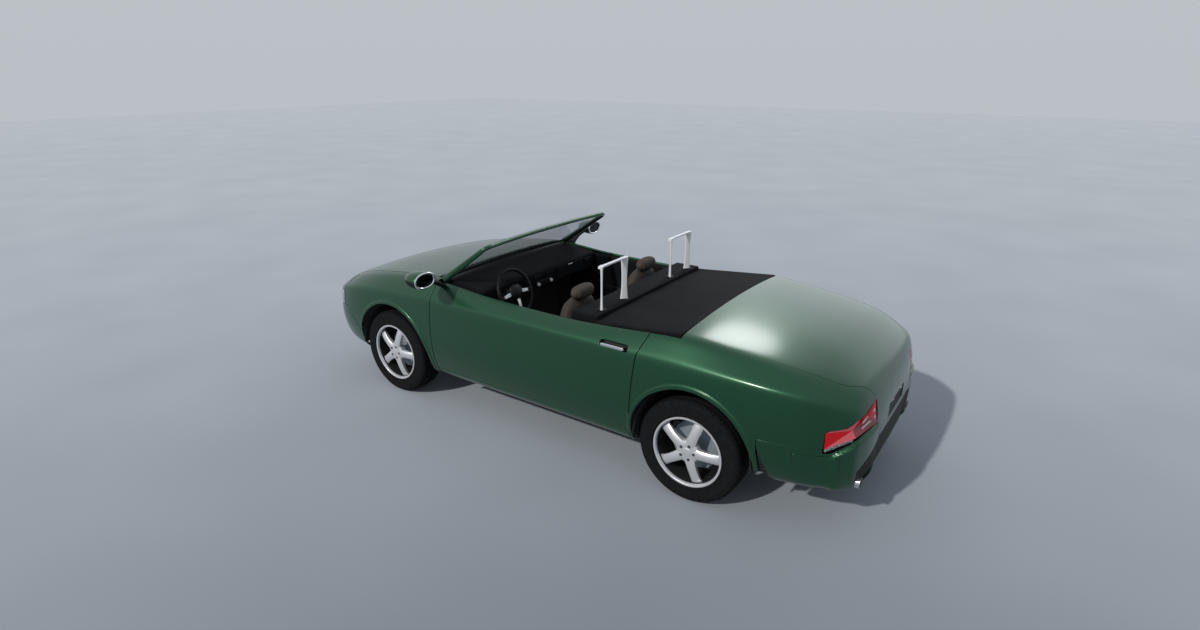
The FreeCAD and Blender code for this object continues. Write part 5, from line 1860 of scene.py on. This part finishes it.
# ---- cabin trim ----------------------------------------------------------------------------------------
class CAR_OT_tonneau(bpy.types.Operator):
    """Makes the grained black cover behind the seats and the shelf that carries the hoops"""
    bl_idname = "car.tonneau"
    bl_label = "Tonneau cover"

    def execute(self, context):
        b = Build()

        def top(x, y):
            z = np.interp(x, (-1204, -586), (1051, 996))
            return z - 9 * (y / 735) ** 2 - 0.5

        ys = np.concatenate([[-735, -734, -731, -726, -718], np.linspace(-700, 700, 41), [718, 726, 731, 734, 735]])
        xs = np.concatenate([[-1204, -1203, -1200, -1195], np.linspace(-1185, -604, 27), [-594, -589, -587, -586]])
        drop_y = np.interp(np.abs(ys), (718, 726, 731, 734, 735), (0, 1.2, 3, 6, 9))
        drop_x = np.interp(xs, (-1204, -1203, -1200, -1195, -1188, -594, -589, -587, -586),
                           (7, 4, 2, 0.6, 0, 0.6, 2, 4, 7))
        loops = [[(X(x), y / 1000, (top(x, y) - dy - dx) / 1000) for y, dy in zip(ys, drop_y)]
                 for x, dx in zip(xs, drop_x)]
        low = [[(X(x), y / 1000, (np.interp(x, (-1204, -586), (1006, 968)) - 8 * (y / 735) ** 2) / 1000) for y in ys]
               for x in xs]
        w, h = len(ys), len(xs)
        verts = [p for row in loops + low for p in row]
        faces = [(j * w + i, (j + 1) * w + i, (j + 1) * w + i + 1, j * w + i + 1) for j in range(h - 1)
                 for i in range(w - 1)]
        faces += [tuple(w * h + k for k in reversed(f)) for f in faces]
        ring = grid_edge(w, h)
        faces += [(p, q, q + w * h, p + w * h) for p, q in zip(ring, ring[1:] + ring[:1])]
        b.put(verts, faces, 0)
        # shelf with a rolled front edge
        prof = [(-583, 952), (-583, 1008), (-581, 1012), (-577, 1013.5), (-400, 1013.5), (-389, 1011), (-383, 1005),
                (-381, 997), (-381, 952)]
        loops = []
        ends = [(-699, 4), (-697, 1.5), (-693, 0.4), (-688, 0)]
        for y, k in ends + [(y, 0) for y in np.linspace(-640, 640, 9)] + [(-y, k) for y, k in reversed(ends)]:
            loops.append([(X(x), y / 1000, (z - k) / 1000) for x, z in prof])
        solid(b, loops)
        ob = b.done("tonneau_cover_piece", [VINYL], outward=True, angle=48)
        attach(ob, "shell")
        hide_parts("tonneau_cover")
        return {"FINISHED"}


def tick_tree():
    """Geometry Nodes: fine marks round a dial."""
    t, g, out = node_tree("dial_marks", Count="Int", Dial_Radius="Float", Size="Vector", Centre="Vector",
                          Lean="Vector", Finish="Material")
    ring = add(t, "GeometryNodeMeshCircle", {"fill_type": "NONE"}, Vertices=g["Count"], Radius=g["Dial_Radius"])
    normal = add(t, "GeometryNodeInputPosition")
    face = add(t, "FunctionNodeAlignRotationToVector", {"axis": "X"}, Vector=normal.outputs[0])
    mark = add(t, "GeometryNodeMeshCube", None, Size=g["Size"])
    on = add(t, "GeometryNodeInstanceOnPoints", None, Points=ring.outputs[0], Instance=mark.outputs[0],
             Rotation=face.outputs[0])
    real = add(t, "GeometryNodeRealizeInstances", None, Geometry=on.outputs[0])
    place = add(t, "GeometryNodeTransform", None, Geometry=real.outputs[0], Translation=g["Centre"],
                Rotation=g["Lean"])
    mat = add(t, "GeometryNodeSetMaterial", None, Geometry=place.outputs[0], Material=g["Finish"])
    t.links.new(mat.outputs[0], out)
    return t


DIALS = (0.350, 0.490)


class CAR_OT_dashboard(bpy.types.Operator):
    """Makes the dashboard with its cowl, dials, vents, glovebox lid and the screen's grille"""
    bl_idname = "car.dashboard"
    bl_label = "Dashboard"

    def execute(self, context):
        b = Build()
        prof = [(760, 842), (760, 1012), (752, 1014), (700, 1011), (620, 1004), (540, 996), (478, 990), (452, 987),
                (441, 982), (434, 973), (431, 960), (431, 945), (436, 905), (440, 870), (436, 858), (446, 852),
                (520, 849), (640, 845)]
        loops = []
        ends = [(-689, 0.975), (-685, 0.99), (-678, 1)]
        for y, k in ends + [(y, 1) for y in np.linspace(-660, 660, 45)] + [(-y, k) for y, k in reversed(ends)]:
            hump = math.exp(-(abs(y - 420) / 175) ** 4)
            loop = []
            for x, z in prof:
                zz = z + 19 * hump * math.exp(-((x - 455) / 75) ** 2) * (z > 940)
                xx = x - 14 * hump * (x < 500) * (z > 935)
                loop.append((X(595 + (xx - 595) * k), y / 1000, (930 + (zz - 930) * k) / 1000))
            loops.append(loop)
        solid(b, loops)
        # four oval vents with their slats
        for y in (-0.60, -0.075, 0.075, 0.60):
            oval = [(X(430), y + 0.048 * c, 0.930 + 0.021 * s) for c, s in superellipse(28, 0.5)]
            deep = [(X(441), y + 0.044 * c, 0.930 + 0.017 * s) for c, s in superellipse(28, 0.5)]
            face = [(X(427.5), y + 0.046 * c, 0.930 + 0.019 * s) for c, s in superellipse(28, 0.5)]
            rings(b, [oval, face, deep], 1, cap1=True)
            for k in range(4):
                z = 0.920 + 0.0068 * k
                box_piece(b, (X(428.5), y - 0.040, z), (X(438), y + 0.040, z + 0.0022), 1, 0.0008)
        # centre panel with two knobs, and the lid on the other side
        box_piece(b, (X(426), -0.100, 0.858), (X(440), 0.100, 0.903), 1, 0.003)
        for y in (-0.078, 0.078):
            turned(b, [(0.0005, -0.014), (0.012, -0.014), (0.0135, -0.012), (0.014, 0.0)], (X(426), y, 0.880), 24,
                   axis=0, m=2)
        box_piece(b, (X(425.5), -0.520, 0.865), (X(441), -0.170, 0.962), 0, 0.004)
        box_piece(b, (X(423.5), -0.375, 0.950), (X(429), -0.315, 0.956), 2, 0.0015)
        # two dials set in the cowl
        for y in DIALS:
            turned(b, [(0.046, 0.008), (0.049, -0.004), (0.047, -0.006), (0.044, 0.003), (0.043, 0.0045),
                       (0.0005, 0.0045)], (X(424), y, 0.937), 40, axis=0, m=3)
        # cowl grille under the screen
        loops = []
        for y in np.linspace(-688, 688, 33):
            bow = 38 * (1 - (y / 700) ** 2)
            loops.append([(X(x + bow * (x > 800)), y / 1000, z / 1000)
                          for x, z in ((774, 986), (774, 1006), (782, 1010.5), (815, 1010.5), (822, 1006),
                                       (822, 986))])
        solid(b, loops, 1)
        ob = b.done("dashboard_piece", [VINYL, BLACK, "satin_silver_lacquer", "black_enamel_band"], outward=True,
                    angle=42)
        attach(ob, "shell")
        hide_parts("dashboard", "cowl_panel")
        for k, y in enumerate(DIALS):
            marks = from_tree("dial_marks_%d" % k, tick_tree(), Count=30, Dial_Radius=0.037,
                              Size=(0.005, 0.0012, 0.0008), Centre=(X(420.5), y, 0.937),
                              Lean=(0.0, math.radians(90), 0.0), Finish=FINISHES[FROSTED])
            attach(marks, "shell")
        return {"FINISHED"}


class CAR_OT_steering_wheel(bpy.types.Operator):
    """Makes the steering wheel: leather grip, three spokes with silver inlays, boss and column shroud"""
    bl_idname = "car.steering_wheel"
    bl_label = "Steering wheel"

    def execute(self, context):
        lean = math.radians(22)
        c0 = np.array([X(362), 0.420, 0.925])
        n = np.array([-math.cos(lean), 0, math.sin(lean)])
        up = np.array([math.sin(lean), 0, math.cos(lean)])
        across = np.array([0, 1.0, 0])
        b = Build()
        loops = []
        for k in range(72):
            a = 2 * math.pi * k / 72
            d = across * math.cos(a) + up * math.sin(a)
            fat = 0.0122 + 0.0012 * (math.cos(4 * a) > 0.7)
            loops.append([c0 + d * (0.167 + fat * math.cos(t)) + n * fat * math.sin(t) for t in turn(16)])
        rings(b, loops + loops[:1], 0)
        for a, w in ((math.radians(-8), 1.0), (math.radians(188), 1.0), (math.radians(270), 1.05)):
            d = across * math.cos(a) + up * math.sin(a)
            e = np.cross(n, d)
            sec = []
            for r, half, h in ((0.030, 0.022, 0.004), (0.070, 0.017, 0.002), (0.110, 0.014, 0.0),
                               (0.158, 0.017, -0.001)):
                sec.append([c0 + d * r + e * half * w * c + n * (h + 0.006 * s) for c, s in superellipse(16, 0.5)])
            solid(b, sec, 1)
            sec = []
            for r, half, h in ((0.060, 0.0125, 0.0075), (0.064, 0.0140, 0.0105), (0.124, 0.0110, 0.0075),
                               (0.130, 0.0100, 0.0055)):
                sec.append([c0 + d * r + e * half * c + n * (h + 0.0015 * s) for c, s in superellipse(16, 0.4)])
            solid(b, sec, 2)
        boss = []
        for r, h in ((0.052, -0.016), (0.056, -0.010), (0.058, 0.004), (0.054, 0.016), (0.044, 0.024),
                     (0.026, 0.029), (0.006, 0.0305)):
            boss.append([c0 + (across * c * 1.08 + up * s * 0.92) * r + n * h for c, s in superellipse(40, 0.8)])
        solid(b, boss, 1)
        shroud = []
        for d, r in ((0.018, 0.034), (0.035, 0.044), (0.09, 0.050), (0.17, 0.046)):
            shroud.append([c0 - n * d + (across * c + up * s * 0.85) * r for c, s in superellipse(28, 0.7)])
        solid(b, shroud, 1)
        for s in (1, -1):
            tube(b, [tuple(c0 - n * 0.055 + across * s * 0.040),
                     tuple(c0 - n * 0.045 + across * s * 0.09 + up * 0.012),
                     tuple(c0 - n * 0.040 + across * s * 0.135 + up * 0.020)],
                 [0.007, 0.006, 0.005], 10, 1)
        ob = b.done("steering_wheel_piece", ["black_grip_leather", BLACK, "satin_silver_lacquer"], outward=True,
                    angle=42)
        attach(ob, "shell")
        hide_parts("steering_wheel")
        return {"FINISHED"}


BOOT_FLOOR = 0.4205


class CAR_OT_console(bpy.types.Operator):
    """Makes the centre console with gear lever, handbrake and armrest lid, the pedals and the carpet"""
    bl_idname = "car.console"
    bl_label = "Console, pedals and carpet"

    def execute(self, context):
        b = Build()
        loops = []
        for x, z, w in ((-449, 552, 86), (-444, 558, 91), (-430, 559, 93), (-100, 559, 94), (-60, 540, 94),
                        (0, 520, 94), (260, 520, 94), (330, 545, 93), (520, 557, 92), (590, 555, 90), (598, 545, 86)):
            loops.append([(X(x), w * c / 1000, z / 1000 if s > 0.4 else (422 + (z - 422) * (s + 1) / 1.4) / 1000)
                          for c, s in superellipse(32, 0.35)])
        solid(b, loops)
        box_piece(b, (X(-420), -0.080, 0.556), (X(-120), 0.080, 0.574), 1, 0.006)
        # gear lever: gaiter, stem and knob
        loops = [[(X(150) + r * c, r * 0.9 * s, z) for c, s in superellipse(24, 0.8)] for r, z in
                 ((0.052, 0.519), (0.050, 0.526), (0.040, 0.536), (0.043, 0.541), (0.030, 0.552), (0.032, 0.557),
                  (0.020, 0.570), (0.010, 0.580))]
        solid(b, loops, 1)
        tube(b, [(X(150), 0, 0.575), (X(143), 0, 0.640)], [0.0055, 0.0055], 12, 2, up=(0, 1, 0))
        loops = [[(X(142) + r * c, r * s, z) for c, s in superellipse(24, 1.0)] for r, z in
                 ((0.008, 0.632), (0.014, 0.638), (0.0215, 0.655), (0.0235, 0.670), (0.021, 0.685), (0.012, 0.694),
                  (0.003, 0.696))]
        solid(b, loops, 1)
        # handbrake
        tube(b, [(X(40), -0.055, 0.524), (X(-20), -0.055, 0.560), (X(-95), -0.055, 0.590), (X(-130), -0.055, 0.600)],
             [0.010, 0.011, 0.0125, 0.011], 14, 1)
        ob = b.done("centre_console_piece", [BLACK, VINYL, CHROME], outward=True, angle=42)
        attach(ob, "shell")
        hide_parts("centre_console")
        # on each side: floor, bulkhead, tunnel side, kick panel and the rail under the seat; then the rear bulkhead
        b = Build()
        for side in (1, -1):
            y0, y1 = sorted((side * 0.124, side * 0.688))
            box_piece(b, (X(-868), y0, 0.2625), (X(845), y1, 0.272), 0, 0.003)
            box_piece(b, (X(846), y0, 0.272), (X(860), y1, 0.800), 0, 0.004)
            a0, a1 = sorted((side * 0.1205, side * 0.1285))
            box_piece(b, (X(-868), a0, 0.272), (X(845), a1, 0.418), 0, 0.003)
            k0, k1 = sorted((side * 0.6885, side * 0.6945))
            box_piece(b, (X(698), k0, 0.272), (X(862), k1, 0.930), 0, 0.002)
            box_piece(b, (X(-250), min(side * 0.23, side * 0.60), 0.2722),
                      (X(-210), max(side * 0.23, side * 0.60), 0.276), 0, 0.001)
        box_piece(b, (X(-873), -0.688, 0.276), (X(-866), 0.688, 0.895), 0, 0.003)
        ob = b.done("cabin_carpet", CARPET, outward=True, angle=40)
        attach(ob, "shell")
        # the boot's side walls, from its floor up to the lid's edge, and a sill across its rear
        b = Build()
        loops = []
        for x in np.linspace(-2205, -906, 33):
            y1 = (703 if x > LID_LINE[0][0] else np.interp(x, LID_LINE[::-1, 0], LID_LINE[::-1, 1])) / 1000 + 0.008
            z1 = deck_at(x, y1 * 1000)[2] - 0.022
            y0, z0 = min(0.516, y1 - 0.02), min(0.78, z1 - 0.05)
            loops.append([(X(x), y, z) for y, z in ((y0, BOOT_FLOOR), (y0, z0), (y1, z1), (y1 + 0.005, z1 - 0.001),
                                                    (y0 + 0.005, z0 - 0.004),
                                                    (y0 + 0.005, BOOT_FLOOR))])
        solid(b, loops, 0, flat=True)
        b.both()
        tail = end_at(np.linspace(-600, 600, 41), 500, -1)
        solid(b, [[(X(-2084), y, 0.490), (X(-2084), y, 0.494), (x + 0.022, y, 0.494), (x + 0.022, y, 0.546),
                   (x + 0.019, y, 0.546), (x + 0.019, y, 0.490)] for x, y, _ in tail], flat=True)
        ob = b.done("boot_lining", CARPET, outward=True, angle=40)
        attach(ob, "shell")
        # clutch, brake and accelerator
        b = Build()
        for y, w in ((0.515, 0.034), (0.425, 0.034), (0.340, 0.024)):
            tube(b, [(X(838), y, 0.560), (X(760), y, 0.470), (X(735), y, 0.400)], [0.007, 0.007, 0.007], 10, 1)
            box_piece(b, (X(722), y - w, 0.372), (X(734), y + w, 0.428 if w > 0.03 else 0.458), 0, 0.003)
        ob = b.done("pedals", ["road_tyre_rubber", ZINC], outward=True, angle=40)
        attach(ob, "shell")
        return {"FINISHED"}


class CAR_OT_door_trims(bpy.types.Operator):
    """Makes the door linings with armrest, pull, pocket and a padded top roll"""
    bl_idname = "car.door_trims"
    bl_label = "Door trims"

    def execute(self, context):
        for side, flip in SIDES:
            b = Build()
            prof = [(743, 384), (743, 955), (738, 960), (728, 961.5), (716, 958), (709, 950), (707, 938), (711, 905),
                    (713, 870), (711, 840), (713, 720), (706, 650), (708, 600), (714, 520), (706, 505), (706, 400),
                    (710, 388), (716, 384)]
            loops = []
            for x, k in [(-469, 0.96), (-465, 0.985),
                         (-458, 1)] + [(x, 1) for x in np.linspace(-440, 660, 23)] + [(678, 1), (685, 0.985),
                                                                                      (689, 0.96)]:
                loops.append([(X(x), (743 + (y - 743) * (1 if y > 742 else k)) / 1000,
                               (672 + (z - 672) * (0.5 + 0.5 * k)) / 1000) for y, z in prof])
            solid(b, loops)
            loops = []
            for x, k in ((-296, 0.3), (-290, 0.75), (-270, 1.0), (0, 1.0), (200, 0.95), (300, 0.8), (336, 0.5),
                         (344, 0.25)):
                loops.append([(X(x), (713 - 32 * k * (0.5 + 0.5 * c)) / 1000, (672 + 27 * s) / 1000)
                              for c, s in superellipse(20, 0.5)])
            solid(b, loops, 1)
            box_piece(b, (X(380), 0.702, 0.806), (X(470), 0.712, 0.828), 2, 0.003)
            box_piece(b, (X(-440), 0.7015, 0.395), (X(440), 0.7075, 0.500), 1, 0.003)
            ob = b.done("door_trim_%s_piece" % side, [VINYL, BLACK, CHROME], outward=True, mirrored=flip, angle=42)
            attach(ob, "door_body_" + side)
            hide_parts("door_trim_" + side)
        return {"FINISHED"}


# ---- nodes that stay, in their own finish ----------------------------------------------------------------
# finishes of the nodes that no piece replaces
STAY = {"black_underbody_coating": ("floor_pan", "underframe"), "moulded_arch_liner": ("arch_liners",),
        "rough_cast_iron": ("engine_block", "knuckle_left", "knuckle_right"),
        "aluminised_steel": ("exhaust",), BLACK: ("grille",)}


class CAR_OT_kept_nodes(bpy.types.Operator):
    """Gives the plain inner nodes their finishes"""
    bl_idname = "car.kept_nodes"
    bl_label = "Underside and inner nodes"

    def execute(self, context):
        for name, nodes in STAY.items():
            for node in nodes:
                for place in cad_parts[node].material_slots:
                    place.link, place.material = "OBJECT", FINISHES[name]
        return {"FINISHED"}


# ---- sizes, colours, panel ---------------------------------------------------------------------------
class CarSizes(bpy.types.PropertyGroup):
    """Sizes that several pieces share, in metres"""
    shut_gap: FloatProperty(name="Shut gap", description="Gap between two panels", default=0.0045, unit="LENGTH")
    tread_pitches: IntProperty(name="Tread pitches", description="Cross cuts round a tyre", default=84)
    padding: FloatProperty(name="Seat padding swell", description="How far a seat's cover may swell", default=0.012,
                           unit="LENGTH")
    edge_radius: FloatProperty(name="Edge radius", description="Rolled edge of a panel", default=0.003, unit="LENGTH")


class CarColours(bpy.types.PropertyGroup):
    """Colours that may be changed"""
    paint: FloatVectorProperty(name="Paint", description="Body colour", subtype="COLOR", size=4,
                               default=linear("#1d5237"))


OPERATORS = [CAR_OT_finishes, CAR_OT_stage, CAR_OT_doors, CAR_OT_wings, CAR_OT_quarters, CAR_OT_sills, CAR_OT_bonnet,
             CAR_OT_boot_lid, CAR_OT_front_bumper, CAR_OT_rear_bumper, CAR_OT_wheels, CAR_OT_windscreen,
             CAR_OT_rear_lamps,
             CAR_OT_front_lamps, CAR_OT_door_mirrors, CAR_OT_door_handles, CAR_OT_hoops,
             CAR_OT_tail_and_nose_fittings,
             CAR_OT_tonneau, CAR_OT_dashboard, CAR_OT_steering_wheel, CAR_OT_console, CAR_OT_door_trims,
             CAR_OT_kept_nodes, CAR_OT_seats]


class CAR_PT_panel(bpy.types.Panel):
    """Lists the sizes, the colours and the operators"""
    bl_label = "Open tourer"
    bl_idname = "CAR_PT_panel"
    bl_space_type = "VIEW_3D"
    bl_region_type = "UI"
    bl_category = "Open tourer"

    def draw(self, context):
        for group in (context.scene.car_sizes, context.scene.car_colours):
            for key in group.bl_rna.properties.keys():
                if key not in ("rna_type", "name"):
                    self.layout.prop(group, key)
        for op in OPERATORS:
            self.layout.operator(op.bl_idname)


CLASSES = [CarSizes, CarColours] + OPERATORS + [CAR_PT_panel]


def register():
    for c in CLASSES:
        bpy.utils.register_class(c)
    bpy.types.Scene.car_sizes = bpy.props.PointerProperty(type=CarSizes)
    bpy.types.Scene.car_colours = bpy.props.PointerProperty(type=CarColours)


def unregister():
    del bpy.types.Scene.car_sizes, bpy.types.Scene.car_colours
    for c in reversed(CLASSES):
        bpy.utils.unregister_class(c)


def main():
    """Runs every operator in turn."""
    register()
    for op in OPERATORS:
        group, name = op.bl_idname.split(".")
        getattr(getattr(bpy.ops, group), name)()


if __name__ == "__main__":
    main()
